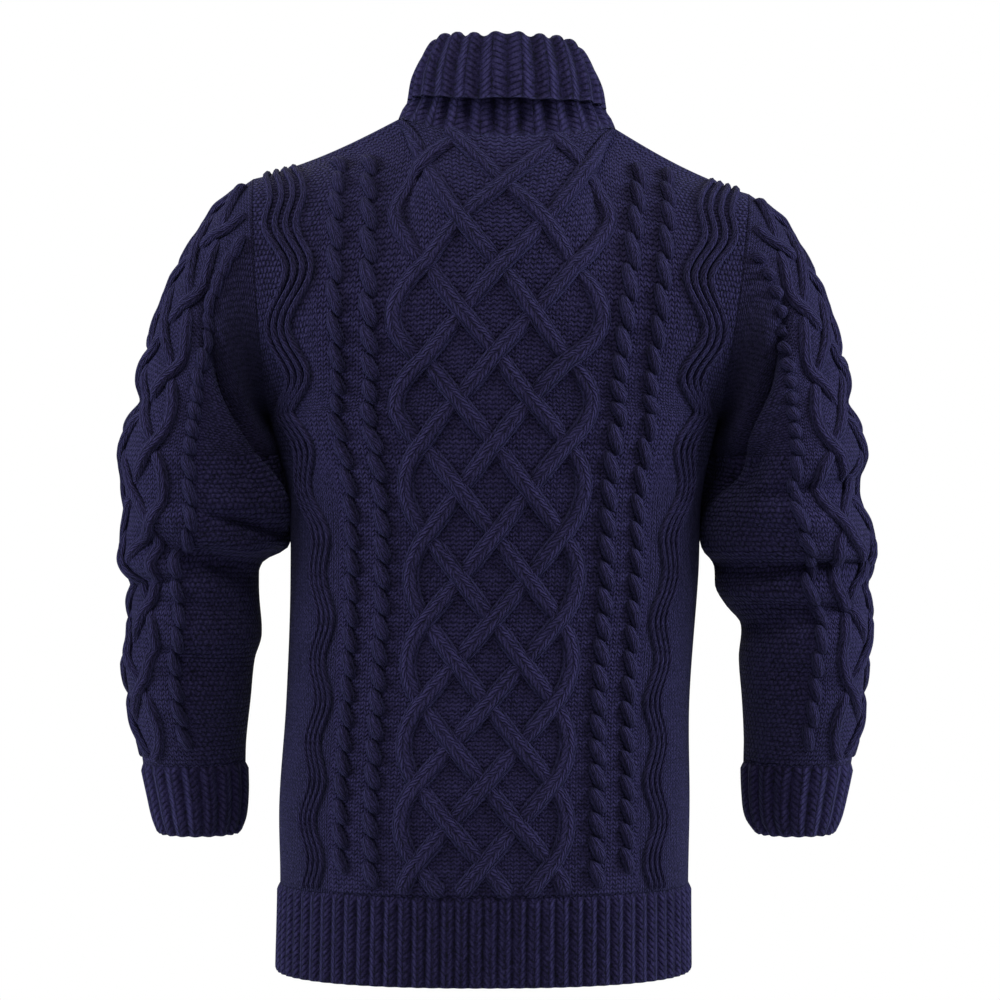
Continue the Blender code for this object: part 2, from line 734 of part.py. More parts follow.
def sleeve_point(side, turn, reach):
    """reach runs 0 to 1 from the armhole round to a level ring, then 1 to 2 to the cuff."""
    if reach >= 1:
        return arm_ring(side, turn, ARM_TOP_Z + (CUFF_TOP_Z - ARM_TOP_Z) * (reach - 1))
    start, end = armhole(side, turn), arm_ring(side, turn, ARM_TOP_Z)
    length = np.linalg.norm(end - start)
    outside = (1 - math.cos(2 * math.pi * turn)) / 2
    droop, leave, arrive, slant = (
        SLEEVE_DROOP[name][0] + (SLEEVE_DROOP[name][1] - SLEEVE_DROOP[name][0]) * outside
        for name in ("droop", "leave", "arrive", "slant")
    )
    first = start + unit([side, 0, -droop]) * length * leave
    second = end + unit([-side * slant, 0, 1]) * length * arrive
    t = reach
    return (
        (1 - t) ** 3 * start
        + 3 * (1 - t) ** 2 * t * first
        + 3 * (1 - t) * t**2 * second
        + t**3 * end
    )


def crease(side, turn, z):
    rows = CREASES[side]
    total = 0.0
    for i in range(len(rows["turn"])):
        off = turn - rows["turn"][i]
        line = rows["z"][i] + rows["lean"][i] * off
        along = math.exp(-((off / rows["reach"][i]) ** 2))
        total -= rows["depth"][i] * along * math.exp(-(((z - line) / rows["width"][i]) ** 2))
    return total


def sleeve_relief(across, count):
    """The sleeve's knitting, at a distance round the arm from its outer line."""
    rise = 0.0
    for place in strand_places(count, SLEEVE_STEP, SLEEVE_STRANDS):
        rise = max(rise, STRAND_RISE * bump(across - place, STRAND_HALF))
    start, end = SLEEVE_ROPE
    return max(rise, STRAND_RISE * bump(across - (start + end) / 2, (end - start) / 2))


def sleeve(side, name):
    rope_end = SLEEVE_ROPE[1]

    def turn_of(across, reach):
        half = read(SLEEVE_HALF_GIRTH, "girth", reach)
        if abs(across) <= rope_end:
            return 0.5 - across / half / 2
        share = abs(across) - rope_end
        end_turn = rope_end / half / 2
        return 0.5 - math.copysign(end_turn + (0.5 - end_turn) * share, across)

    def place(across, reach):
        turn = turn_of(across, reach)
        point = sleeve_point(side, turn, reach)
        before, after = max(reach - 0.01, 0), min(reach + 0.01, 2)
        along = sleeve_point(side, turn, after) - sleeve_point(side, turn, before)
        around = sleeve_point(side, turn + 0.01, reach) - sleeve_point(side, turn - 0.01, reach)
        normal = unit(np.cross(around, along)) * side
        if reach < 1e-6:
            normal = armhole_normal(side, turn)
            point = point + np.array([side * SEAM, 0, 0])
        if reach > 2 - 1e-6:
            normal = cuff_normal(side, turn)
        fade = max(min(reach / SLEEVE_TOP_FADE, 1, (2 - reach) / SLEEVE_END_FADE), 0)
        point = point + normal * crease(side, turn, point[2]) * fade
        count = SLEEVE_FIRST_COUNT + SLEEVE_COUNTS * reach / 2
        rise = sleeve_relief(abs(across), count) if abs(across) <= rope_end else 0
        return lambda outer: point, normal, rise * fade

    row_count = int(SLEEVE_COUNTS * MEDIUM_ROWS)
    rows = [2 * k / row_count for k in range(row_count + 1)]
    rest = [rope_end + k / 3 for k in range(1, 4)]
    half = list(SLEEVE_COLUMNS) + rest
    around = [-a for a in half[-2:0:-1]] + half
    folded = [row for row in rows if SLEEVE_FOLDS[0] < row < SLEEVE_FOLDS[1]]
    sparse = sorted(set(rows[:-1:3] + folded + rows[-1:]))
    inner_half = list(SLEEVE_INNER_COLUMNS) + rest
    inner_around = [-a for a in inner_half[-2:0:-1]] + inner_half

    outer = [(a, rows) for a in around]
    inner = [(a, sparse) for a in inner_around]
    return build_tube(name, outer, inner, place)


def build_tube(name, outer, inner, place):
    """A wall that closes round on itself; both faces start at the same place."""
    wall = Wall(name, NAVY)
    made = []
    for columns, is_outer in ((outer, True), (inner, False)):
        made.append([wall.column(across, rows, place, is_outer) for across, rows in columns])
        wall.strips(made[-1], True, not is_outer)
    for end, flip in ((0, True), (-1, False)):
        ids = [[column[2][end] for column in columns] for columns in made]
        at = [[column[0] for column in columns] for columns in made]
        past = max(at[0][-1], at[1][-1]) + 1
        wall.zip_lines(ids[0] + ids[0][:1], at[0] + [past], ids[1] + ids[1][:1], at[1] + [past], flip)
    return wall.finish()


def cuff_normal(side, turn):
    angle = 2 * math.pi * turn
    return unit([-side * math.cos(angle), math.sin(angle), 0])


def cuff(side, name):
    def place(turn, z):
        point = arm_ring(side, turn, z)
        rib = math.cos(2 * math.pi * turn * CUFF_RIBS)
        at_end = min((CUFF_TOP_Z - z) / RIB_FADE, 1)
        return lambda outer: point, cuff_normal(side, turn), RIB_RISE * (1 - rib) / 2 * at_end

    levels = [CUFF_END_Z, CUFF_TURN_IN_Z, CUFF_TOP_Z - RIB_FADE, CUFF_TOP_Z - SEAM]
    outer = [(k / (2 * CUFF_RIBS), levels) for k in range(2 * CUFF_RIBS)]
    inner = [(k / 12, [levels[0], levels[1], levels[-1]]) for k in range(12)]
    return build_tube(name, outer, inner, place)


# ---- hem welts ----
def welt(name, start, end, ribs, surface, outward):
    """A ribbed welt under a panel; surface(u, z) is its wall and outward its normal's sign."""
    top = row_height(BOTTOM_COUNT) - SEAM
    levels = [HEM_END_Z, HEM_MIDDLE_Z, top - RIB_FADE, top]

    def place(u, z):
        point = surface(u, z)
        normal = outward * normal_of(surface, u, z, (start, end), (HEM_END_Z, top), 0.002, 0.002)
        rib = math.cos(2 * math.pi * ribs * (u - start) / (end - start))
        at_end = min((top - z) / RIB_FADE, 1)
        return lambda outer: point, normal, RIB_RISE * (1 - rib) / 2 * at_end

    outer = [(start + (end - start) * k / (2 * ribs), levels) for k in range(2 * ribs + 1)]
    sparse = [levels[0], levels[-1]]
    spans = max(ribs // 3, 4)
    inner = [(start + (end - start) * k / spans, sparse) for k in range(spans + 1)]
    return Wall(name, NAVY).build(outer, inner, place)


# ---- the shawl collar ----
def collar_seam(way):
    """The collar's seam line: a point, and the normal that it shares with the panels."""
    side = -1 if way < 0 else 1
    size = abs(way)
    if size <= SHOULDER_WAY:
        u = size / SHOULDER_WAY * NECK_HALF_WIDTH
        return back_top(side, u / PANEL_REACH["reach"][-1]), top_normal(side, u, 1)
    low = (COLLAR_END_Z - UNDERARM_Z) / (NECKLINE["z"][-1] - UNDERARM_Z)
    share = 1 - (size - SHOULDER_WAY) / (1 - SHOULDER_WAY) * (1 - low)
    return neckline(side, share), neckline_normal(side, share)


def collar_profile(way):
    """Points of the folded sheet at one place: seam, stand, roll, fall and free edge."""
    side = -1 if way < 0 else 1
    size = abs(way)
    seam, normal = collar_seam(way)
    ahead, behind = collar_seam(min(way + 0.01, 1))[0], collar_seam(max(way - 0.01, -1))[0]
    clear = unit(np.cross(normal, ahead - behind))
    seam = seam + COLLAR_SEAM * (clear if clear[2] > 0 else -clear)
    turn = math.pi / 2 * min(size / SHOULDER_WAY, 1)
    to_neck = -np.array([side * math.sin(turn), math.cos(turn), 0])
    turn += math.pi / 2 * min(max((size - SHOULDER_WAY) / TURN_OVER_WAY, 0), 1)
    away = np.array([side * math.sin(turn), math.cos(turn), 0])
    up = np.array([0, 0, 1.0])
    radius = read(COLLAR, "radius", size)
    lean = max(size - SHOULDER_WAY, 0) / (1 - SHOULDER_WAY) * FRONT_LEAN
    roll = seam + to_neck * read(COLLAR, "roll_in", size) + up * read(COLLAR, "roll_up", size)
    roll = roll + away * lean
    edge = seam + away * read(COLLAR, "edge_out", size) + up * read(COLLAR, "edge_up", size)
    rise = unit(roll - seam)
    stand_top, fall_top = roll - away * radius * ROLL_WIDTH, roll + away * radius * ROLL_WIDTH
    points = [
        seam,
        (seam + stand_top) / 2 - away * STAND_BOW,
        stand_top,
        roll + rise * radius,
        fall_top,
        (fall_top + edge) / 2 + away * FALL_BOW,
        edge,
    ]
    return points, normal


def collar():
    def place(way, k):
        points, seam_normal = collar_profile(way)
        step = 0.01
        ahead = collar_profile(min(way + step, 1))[0]
        behind = collar_profile(max(way - step, -1))[0]
        low, high = max(k - 1, 0), min(k + 1, len(points) - 1)
        normal = unit(np.cross(points[high] - points[low], ahead[k] - behind[k]))
        if k == 0:
            normal = seam_normal
        rib = math.cos(math.pi * (way + 1) * COLLAR_RIBS)
        shift = 0.0 if k == 0 else COLLAR_RIB_RISE / 2 * rib
        return lambda outer: points[k] + normal * shift, normal, 0.0

    stations = list(range(7))
    ways = [-1 + k / COLLAR_RIBS for k in range(2 * COLLAR_RIBS + 1)]
    columns = [(way, stations) for way in ways]
    return Wall("collar", NAVY).build(columns, columns, place)


# ---- front bands and buttons ----
def band(name, lap):
    """A band down the centre front, ribbed across, lap in front of the fronts' own wall."""

    def surface(u, z):
        return ring(u, z, "front")

    def place(u, z):
        limits = (-BAND_HALF_WIDTH, BAND_HALF_WIDTH)
        normal = normal_of(surface, u, z, limits, (HEM_END_Z, BAND_TOP_Z), 0.004, 0.004)
        rib = math.cos(2 * math.pi * BAND_RIBS * (z - HEM_END_Z) / (BAND_TOP_Z - HEM_END_Z))
        return lambda outer: surface(u, z) + normal * lap, normal, BAND_RIB_RISE * (1 - rib) / 2

    length = BAND_TOP_Z - HEM_END_Z
    levels = [HEM_END_Z + length * k / (2 * BAND_RIBS) for k in range(2 * BAND_RIBS + 1)]
    sparse = [HEM_END_Z + length * k / 12 for k in range(13)]
    across = (-BAND_HALF_WIDTH, BAND_HALF_WIDTH)
    outer = [(u, levels) for u in across]
    inner = [(u, sparse) for u in across]
    return Wall(name, NAVY).build(outer, inner, place)


def button(number):
    """A plain round button with a raised rim, flat at its back, turned about its own axis."""
    z = BUTTON_TOP_Z + (BUTTON_END_Z - BUTTON_TOP_Z) * (number - 1) / (BUTTON_COUNT - 1)
    r, thick = BUTTON_RADIUS, BUTTON_THICK
    profile = [
        (0, thick * 0.72),
        (r * 0.66, thick * 0.72),
        (r * 0.80, thick),
        (r * 0.94, thick * 0.9),
        (r, 0),
        (0, 0),
    ]
    mesh = bpy.data.meshes.new(f"button_{number}")
    edges = [(k, k + 1) for k in range(len(profile) - 1)]
    mesh.from_pydata([(x, 0, y) for x, y in profile], edges, [])
    piece = add_piece(f"button_{number}", mesh, HORN)
    turned = piece.modifiers.new("turned", "SCREW")
    turned.steps = BUTTON_SIDES
    turned.render_steps = BUTTON_SIDES
    turned.use_merge_vertices = True
    turned.merge_threshold = 0.00001
    turned.use_smooth_shade = True
    slope = ring(0, z + 0.01, "front")[1] - ring(0, z - 0.01, "front")[1]
    tilt = math.atan2(slope, 0.02)
    lift = BAND_LAP + WALL / 2 + BAND_RIB_RISE + SEAM
    piece.location = ring(0, z, "front") - np.array([0, lift, 0])
    piece.rotation_euler = (math.pi / 2 - tilt, 0, 0)
    return piece


def clear_scene():
    for item in list(bpy.data.objects):
        bpy.data.objects.remove(item)


def main():
    clear_scene()
    garment = bpy.data.collections.new(GARMENT)
    bpy.context.scene.collection.children.link(garment)
    back_panel()
    front_panel(1, "front_left")
    front_panel(-1, "front_right")
    sleeve(1, "sleeve_left")
    sleeve(-1, "sleeve_right")
    cuff(1, "cuff_left")
    cuff(-1, "cuff_right")
    edge = HALF_GIRTH - HALF_SEAM
    inner_edge = BAND_HALF_WIDTH + SEAM
    welt("hem_back", -edge, edge, HEM_BACK_RIBS, lambda u, z: ring(u, z, "back"), -1)
    for side, name in ((1, "hem_front_left"), (-1, "hem_front_right")):

        def front_ring(u, z, side=side):
            return ring(side * u, z, "front")

        welt(name, inner_edge, edge, HEM_FRONT_RIBS, front_ring, side)
    collar()
    band("band_right", 0.0)
    band("band_left", BAND_LAP)
    for number in range(1, BUTTON_COUNT + 1):
        button(number)


main()
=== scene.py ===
"""How the shawl collar cardigan looks: dark navy wool in heavy cable knit, worn and filled out.

The garment faces -Y and its back is at +Y; +X is the wearer's left. Lengths are in metres.
Each cloth piece is a thin knitted shell on the form of its solid, with its cables and ribs
laid on it as raised cords of knitting.
"""

import math

import bpy
import numpy as np
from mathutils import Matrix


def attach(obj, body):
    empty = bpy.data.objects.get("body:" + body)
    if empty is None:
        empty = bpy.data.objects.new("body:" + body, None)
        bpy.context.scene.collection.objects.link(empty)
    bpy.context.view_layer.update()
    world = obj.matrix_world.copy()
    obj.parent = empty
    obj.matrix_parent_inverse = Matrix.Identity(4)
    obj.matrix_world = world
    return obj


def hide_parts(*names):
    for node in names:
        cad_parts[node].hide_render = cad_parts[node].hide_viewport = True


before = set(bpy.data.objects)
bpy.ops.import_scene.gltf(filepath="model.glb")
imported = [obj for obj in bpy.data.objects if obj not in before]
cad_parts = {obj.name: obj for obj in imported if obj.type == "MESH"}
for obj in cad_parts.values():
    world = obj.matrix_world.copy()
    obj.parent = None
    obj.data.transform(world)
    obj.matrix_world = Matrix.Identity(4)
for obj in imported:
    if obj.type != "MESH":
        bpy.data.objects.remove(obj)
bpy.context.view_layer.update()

# =============================================================================
# The back panel: one piece in thick two-ply wool, purl side out as the ground,
# knitted from the hem up. A lattice of six travelling cables runs up its middle
# and is framed by twisted ropes and thin wavy ribs, all knitted in one with it.
# =============================================================================


def table(columns, *rows):
    """A table with named columns, one row for each section or fold."""
    return {name: [row[i] for row in rows] for i, name in enumerate(columns.split())}


WALL = 0.003
SEAM = 0.0003
HALF_GIRTH = 0.243
UNDERARM_Z = -0.237
RING_POWER = 2.3
# about how deep a level section is beside its half width
RING_FLATNESS = 0.68
TORSO = table(
    "z half_width centre back_depth front_depth",
    (-0.700, 0.1705, 0.0097, 0.116, 0.116),
    (-0.626, 0.1695, 0.0090, 0.119, 0.120),
    (-0.560, 0.1705, 0.0088, 0.118, 0.122),
    (-0.475, 0.1675, 0.0060, 0.114, 0.119),
    (-0.370, 0.1695, 0.0005, 0.111, 0.116),
    (-0.300, 0.1725, 0.0000, 0.114, 0.116),
    (-0.237, 0.1870, 0.0010, 0.117, 0.116),
)
CHEST_CENTRE = TORSO["centre"][-1]
TIP_X = {1: 0.2008, -1: 0.2110}
TIP_Z = {1: -0.0386, -1: -0.0512}
ARMHOLE_BACK = 0.076
ARMHOLE_FRONT = 0.070
ARMHOLE_RISE_POWER = 0.85
ARMHOLE_DEPTH_POWER = 0.9
SHOULDER_HOLLOW = 0.004
# the share of the armhole's height where the rows start to take the shoulder's slope
SLOPE_START = 0.35
NECK_CENTRE = -0.010
NECK_HALF_WIDTH = 0.090
NECK_BACK_Y = 0.062
NECK_BACK_Z = -0.009
NECK_SIDE_Y = 0.010
NECK_SIDE_Z = {1: 0.011, -1: 0.003}
BACK_LINE = table(
    "rise depth",
    (0.00, 0.117), (0.25, 0.1175), (0.50, 0.113), (0.75, 0.098), (0.90, 0.079), (1.00, 0.062),
)
# the cloth's length from the centre to the armhole: rise 0 at the underarm, 1 at the top
PANEL_REACH = table(
    "rise reach",
    (0.00, 0.243), (0.10, 0.228), (0.25, 0.212), (0.50, 0.204), (0.75, 0.208), (1.00, 0.227),
)
TOP_REACH = PANEL_REACH["reach"][-1]
TRIM_START = 0.150
PATTERN = table(
    "count z",
    (-1, -0.633), (0, -0.600), (4, -0.471), (8, -0.335), (12, -0.188), (16, -0.0493),
    (17.2, -0.009),
)
UNDERARM_COUNT = 8 + 8 / 3
TOP_COUNT = 17.2
BOTTOM_COUNT = -0.79


def read(rows, name, at):
    """A column's value at a height or count, along a smooth curve through the rows."""
    keys, values = rows[next(iter(rows))], rows[name]
    if keys[0] > keys[-1]:
        keys, values = keys[::-1], values[::-1]
    last = len(keys) - 1
    if at <= keys[0]:
        return values[0]
    if at >= keys[last]:
        return values[last]
    i = int(np.searchsorted(keys, at, side="right")) - 1
    span = keys[i + 1] - keys[i]
    t = (at - keys[i]) / span
    slopes = []
    for k in (i, i + 1):
        low, high = max(k - 1, 0), min(k + 1, last)
        slopes.append((values[high] - values[low]) / (keys[high] - keys[low]) * span)
    return (
        (2 * t**3 - 3 * t**2 + 1) * values[i]
        + (t**3 - 2 * t**2 + t) * slopes[0]
        + (3 * t**2 - 2 * t**3) * values[i + 1]
        + (t**3 - t**2) * slopes[1]
    )


def read_all(rows, name, places):
    return np.array([read(rows, name, at) for at in places])


def unit(vector):
    return np.asarray(vector) / np.linalg.norm(vector)


def arc_angles():
    """Angles along a quarter ring, and the share of the cloth's length that they reach."""
    angles = np.linspace(0, math.pi / 2, 241)
    across = np.sin(angles) ** (2 / RING_POWER)
    deep = RING_FLATNESS * np.cos(angles) ** (2 / RING_POWER)
    steps = np.hypot(np.diff(across), np.diff(deep))
    share = np.concatenate([[0], np.cumsum(steps)])
    return angles, share / share[-1]


RING_ANGLES, RING_SHARES = arc_angles()


def ring(u, z, face):
    """The torso's wall at u along the cloth from its centre; face is 'back' or 'front'."""
    angle = float(np.interp(abs(u) / HALF_GIRTH, RING_SHARES, RING_ANGLES))
    across = math.sin(angle) ** (2 / RING_POWER) * read(TORSO, "half_width", z)
    deep = max(math.cos(angle), 0) ** (2 / RING_POWER) * read(TORSO, face + "_depth", z)
    y = deep if face == "back" else -deep
    return np.array([read(TORSO, "centre", z) + math.copysign(across, u), y, z])


def armhole(side, turn):
    """The armhole seam: turn 0 at the underarm, 0.25 at the back, 0.5 at the shoulder."""
    angle = 2 * math.pi * turn
    rise = ((1 - math.cos(angle)) / 2) ** ARMHOLE_RISE_POWER
    deep = math.copysign(abs(math.sin(angle)) ** ARMHOLE_DEPTH_POWER, math.sin(angle))
    start = ring(side * HALF_GIRTH, UNDERARM_Z, "back")
    x = start[0] + (side * TIP_X[side] - start[0]) * rise
    y = deep * (ARMHOLE_BACK if deep > 0 else ARMHOLE_FRONT)
    return np.array([x, y, UNDERARM_Z + (TIP_Z[side] - UNDERARM_Z) * rise])


def neck_corner(side):
    return np.array([NECK_CENTRE + side * NECK_HALF_WIDTH, NECK_SIDE_Y, NECK_SIDE_Z[side]])


def shoulder(side, share):
    """The shoulder seam, from the neck's corner to the armhole, a little hollow."""
    start, end = neck_corner(side), armhole(side, 0.5)
    drop = SHOULDER_HOLLOW * math.sin(math.pi * share)
    return start + (end - start) * share - np.array([0, 0, drop])


def back_top(side, share):
    """The top of the back: half the neck's curve, then the shoulder seam."""
    neck = NECK_HALF_WIDTH / TOP_REACH
    if share > neck:
        return shoulder(side, (share - neck) / (1 - neck))
    angle = math.pi / 2 * share / neck
    corner = neck_corner(side)
    x = NECK_CENTRE + (corner[0] - NECK_CENTRE) * math.sin(angle)
    y = corner[1] + (NECK_BACK_Y - corner[1]) * math.cos(angle)
    return np.array([x, y, NECK_BACK_Z + (corner[2] - NECK_BACK_Z) * math.sin(angle) ** 2])


def ease(v):
    v = min(max(v, 0), 1)
    return v * v * (3 - 2 * v)


def row_height(count):
    return read(PATTERN, "z", count)


def rise_of(count):
    return (count - UNDERARM_COUNT) / (TOP_COUNT - UNDERARM_COUNT)


def slope(v):
    """How much of the shoulder's slope the rows at rise v have taken."""
    return ease((v - SLOPE_START) / (1 - SLOPE_START))


def chest(start, end, share, middle):
    """A point between two others, on the rounded level section that passes through both."""
    xs = [abs(point[0] - middle) ** RING_POWER for point in (start, end)]
    ys = [max(abs(point[1]), 0.001) ** RING_POWER for point in (start, end)]
    across, deep = np.linalg.solve([[xs[0], ys[0]], [xs[1], ys[1]]], [1, 1])
    reach = []
    for y in ys:
        angle = math.acos(min((y * deep) ** 0.5, 1))
        reach.append(np.interp(angle, RING_ANGLES, RING_SHARES))
    angle = np.interp(reach[0] + (reach[1] - reach[0]) * share, RING_SHARES, RING_ANGLES)
    x = math.sin(angle) ** (2 / RING_POWER) / across ** (1 / RING_POWER)
    y = max(math.cos(angle), 0) ** (2 / RING_POWER) / deep ** (1 / RING_POWER)
    z = start[2] + (end[2] - start[2]) * share
    return np.array([middle + math.copysign(x, end[0]), math.copysign(y, start[1]), z])


def along_panel(u, v):
    """Where column u lies along the cloth from the centre: the armhole trims the side."""
    if u <= TRIM_START:
        return u
    length = read(PANEL_REACH, "reach", v)
    return TRIM_START + (u - TRIM_START) * (length - TRIM_START) / (HALF_GIRTH - TRIM_START)


def back_point(u, count):
    if count <= UNDERARM_COUNT:
        return ring(u, row_height(count), "back")
    side = -1 if u < 0 else 1
    v = rise_of(count)
    share = along_panel(abs(u), v) / read(PANEL_REACH, "reach", v)

    def section(at):
        x = CHEST_CENTRE + (NECK_CENTRE - CHEST_CENTRE) * at
        z = row_height(UNDERARM_COUNT + at * (TOP_COUNT - UNDERARM_COUNT))
        middle = np.array([x, read(BACK_LINE, "depth", at), z])
        return chest(middle, armhole(side, at * 0.5), share, x)

    return section(v) + slope(v) * (back_top(side, share) - section(1))


# the share of a cloth over which its normal is measured
NORMAL_STEP = 0.004


class Cloth:
    """A smooth piece of cloth: a form worked out on a net of places and read between them."""

    def __init__(self, point, across, along, facing=1, tube=False):
        self.limits = (across[0], across[-1]), (along[0], along[-1])
        self.counts = len(across), len(along)
        self.facing = facing
        self.tube = tube
        self.fill(np.array([[point(a, b) for b in along] for a in across]))

    def fill(self, net):
        if self.tube:
            before, after = net[-2:-1], net[1:2]
        else:
            before, after = 2 * net[:1] - net[1:2], 2 * net[-1:] - net[-2:-1]
        net = np.concatenate([before, net, after])
        self.net = np.concatenate(
            [2 * net[:, :1] - net[:, 1:2], net, 2 * net[:, -1:] - net[:, -2:-1]], axis=1
        )

    def cell(self, at, k):
        """The net's cell that holds a place, and the four weights of a smooth curve there."""
        low, high = self.limits[k]
        place = (at - low) / (high - low)
        if self.tube and k == 0:
            place = place % 1
        place = np.clip(place, 0, 1) * (self.counts[k] - 1)
        first = np.minimum(place.astype(int), self.counts[k] - 2)
        t = place - first
        weights = (
            (-t + 2 * t**2 - t**3) / 2,
            (2 - 5 * t**2 + 3 * t**3) / 2,
            (t + 4 * t**2 - 3 * t**3) / 2,
            (-(t**2) + t**3) / 2,
        )
        return first, weights

    def at(self, a, b):
        a, b = np.broadcast_arrays(a, b)
        i, across = self.cell(a, 0)
        j, along = self.cell(b, 1)
        total = 0
        for m in range(4):
            for n in range(4):
                total = total + (across[m] * along[n])[..., None] * self.net[i + m, j + n]
        return total

    def normal(self, a, b):
        (a0, a1), (b0, b1) = self.limits
        step_a, step_b = (a1 - a0) * NORMAL_STEP, (b1 - b0) * NORMAL_STEP
        left, right = a - step_a, a + step_a
        if not self.tube:
            left, right = np.maximum(left, a0), np.minimum(right, a1)
        low, high = np.maximum(b - step_b, b0), np.minimum(b + step_b, b1)
        across = self.at(right, b) - self.at(left, b)
        along = self.at(a, high) - self.at(a, low)
        normal = np.cross(across, along) * self.facing
        return normal / np.linalg.norm(normal, axis=-1, keepdims=True)


def add_piece(name, points, faces, material, smooth=True):
    mesh = bpy.data.meshes.new(name)
    mesh.from_pydata(points, [], faces)
    mesh.polygons.foreach_set("use_smooth", np.full(len(mesh.polygons), smooth))
    mesh.materials.append(material)
    mesh.update()
    piece = bpy.data.objects.new(name, mesh)
    bpy.context.scene.collection.objects.link(piece)
    return piece


class Knitting:
    """Gathers the points and faces of one mesh, with its stitch places and its zones."""

    def __init__(self):
        self.points, self.faces, self.stitches, self.zones = [], [], [], []
        self.count = 0

    def grid(self, points, stitches, zones=None, flip=False, tube=False):
        rows, columns = points.shape[:2]
        ids = np.arange(rows * columns).reshape(rows, columns)
        faces = np.stack([ids[:-1, :-1], ids[1:, :-1], ids[1:, 1:], ids[:-1, 1:]], -1)
        faces = faces.reshape(-1, 4)
        if flip:
            faces = faces[:, ::-1]
        kept = ids.copy()
        if tube:
            kept[-1] = kept[0]
        if zones is None:
            zones = np.zeros((rows, columns, 3))
        self.faces.append((kept.reshape(-1)[faces] + self.count, faces + self.count))
        self.points.append(points.reshape(-1, 3))
        self.stitches.append(np.asarray(stitches).reshape(-1, 2))
        self.zones.append(np.asarray(zones).reshape(-1, 3))
        self.count += rows * columns
        return ids + self.count - rows * columns

    def rim(self, outer, inner, flip=False, tube=False):
        """A strip of faces between two lines of points that are already there."""
        a, b = outer[:-1], outer[1:]
        c, d = inner[1:], inner[:-1]
        faces = np.stack([a, b, c, d], -1)
        if flip:
            faces = faces[:, ::-1]
        own = faces.copy()
        if tube:
            own[faces == outer[-1]] = outer[0]
            own[faces == inner[-1]] = inner[0]
        self.faces.append((own, faces))

    def make(self, name, material):
        points = np.concatenate(self.points)
        stitches = np.concatenate(self.stitches).astype(np.float32)
        zones = np.concatenate(self.zones).astype(np.float32)
        own = np.concatenate([entry[0] for entry in self.faces])
        places = np.concatenate([entry[1] for entry in self.faces])
        used = np.unique(own)
        fresh = np.full(len(points), -1)
        fresh[used] = np.arange(len(used))
        piece = add_piece(name, points[used].tolist(), fresh[own].tolist(), material)
        layer = piece.data.uv_layers.new(name="stitches")
        layer.data.foreach_set("uv", stitches[places.reshape(-1)].reshape(-1))
        zone = piece.data.attributes.new("zone", "FLOAT_VECTOR", "POINT")
        zone.data.foreach_set("vector", zones[used].reshape(-1))
        return piece


def knit_shell(name, material, cloth, a, b, stitches, rise=0.0, zones=None):
    """A closed wall on a cloth's form: outer face with its relief, plain inner face, rims.

    The stitch places and the rise are columns for what changes with a, or rows for b.
    """
    knit = Knitting()
    middle, normal = cloth.at(a[:, None], b), cloth.normal(a[:, None], b)
    net = middle.shape[:2]
    outer = middle + normal * np.broadcast_to(WALL / 2 + rise, net)[..., None]
    inner = middle - normal * WALL / 2
    stitches = np.stack([np.broadcast_to(place, net) for place in stitches], -1)
    flip, tube = cloth.facing < 0, cloth.tube
    out_ids = knit.grid(outer, stitches, zones, flip, tube)
    in_ids = knit.grid(inner, stitches, zones, not flip, tube)
    knit.rim(out_ids[:, 0], in_ids[:, 0], not flip, tube)
    knit.rim(out_ids[:, -1], in_ids[:, -1], flip, tube)
    if not tube:
        knit.rim(out_ids[0], in_ids[0], flip)
        knit.rim(out_ids[-1], in_ids[-1], not flip)
    return knit.make("knit_" + name, material)


CORD_ROW = 0.0058
CORD_FADE = 0.006
CORD_TIP_SHARE = 0.02
CORD_UNDERSIDE = 0.45
CORD_END_SINK = 0.004


def lay_cord(knit, cloth, a, b, half, rise, lift, columns, sides=12):
    """A raised cord of knitting laid along a path on a cloth; lift carries it over or under."""
    middle = cloth.at(a, b)
    normal = cloth.normal(a, b)
    steps = np.linalg.norm(np.diff(middle, axis=0), axis=1)
    length = np.concatenate([[0], np.cumsum(steps)])
    across = np.cross(np.gradient(middle, axis=0), normal)
    across /= np.linalg.norm(across, axis=1, keepdims=True)
    to_tip = np.minimum(length, length[-1] - length)
    ends = np.clip(to_tip / CORD_FADE, CORD_TIP_SHARE, 1) ** 0.5
    angle = np.linspace(-math.pi, math.pi, sides + 1)[:, None]
    out = np.sin(angle) * (half * ends)
    up = np.cos(angle)
    up = np.where(up > 0, up, up * CORD_UNDERSIDE) * (rise * ends) + lift
    up = up + WALL / 2 - (1 - ends) * CORD_END_SINK
    points = middle + across * out[..., None] + normal * up[..., None]
    places = np.broadcast_arrays(angle / math.pi * columns, length / CORD_ROW)
    knit.grid(points, np.stack(places, -1), tube=True)


# ---- what the wool looks like: stitch reliefs, nap and colour, as node groups ----
def set_inputs(node, inputs):
    """Joins a node's inputs to sockets, or sets them to plain values."""
    for name, value in inputs.items():
        if isinstance(value, bpy.types.NodeSocket):
            node.id_data.links.new(value, node.inputs[name])
        else:
            node.inputs[name].default_value = value


def add_node(tree, kind, inputs=None, **settings):
    node = tree.nodes.new("ShaderNode" + kind)
    for name, value in settings.items():
        setattr(node, name, value)
    set_inputs(node, inputs or {})
    return node


def work(tree, value, *steps):
    """Math nodes in a row on a value; a step is an operation, with its other values if any."""
    for step in steps:
        operation, *others = [step] if isinstance(step, str) else step
        node = add_node(tree, "Math", dict(enumerate((value, *others))), operation=operation)
        value = node.outputs[0]
    return value


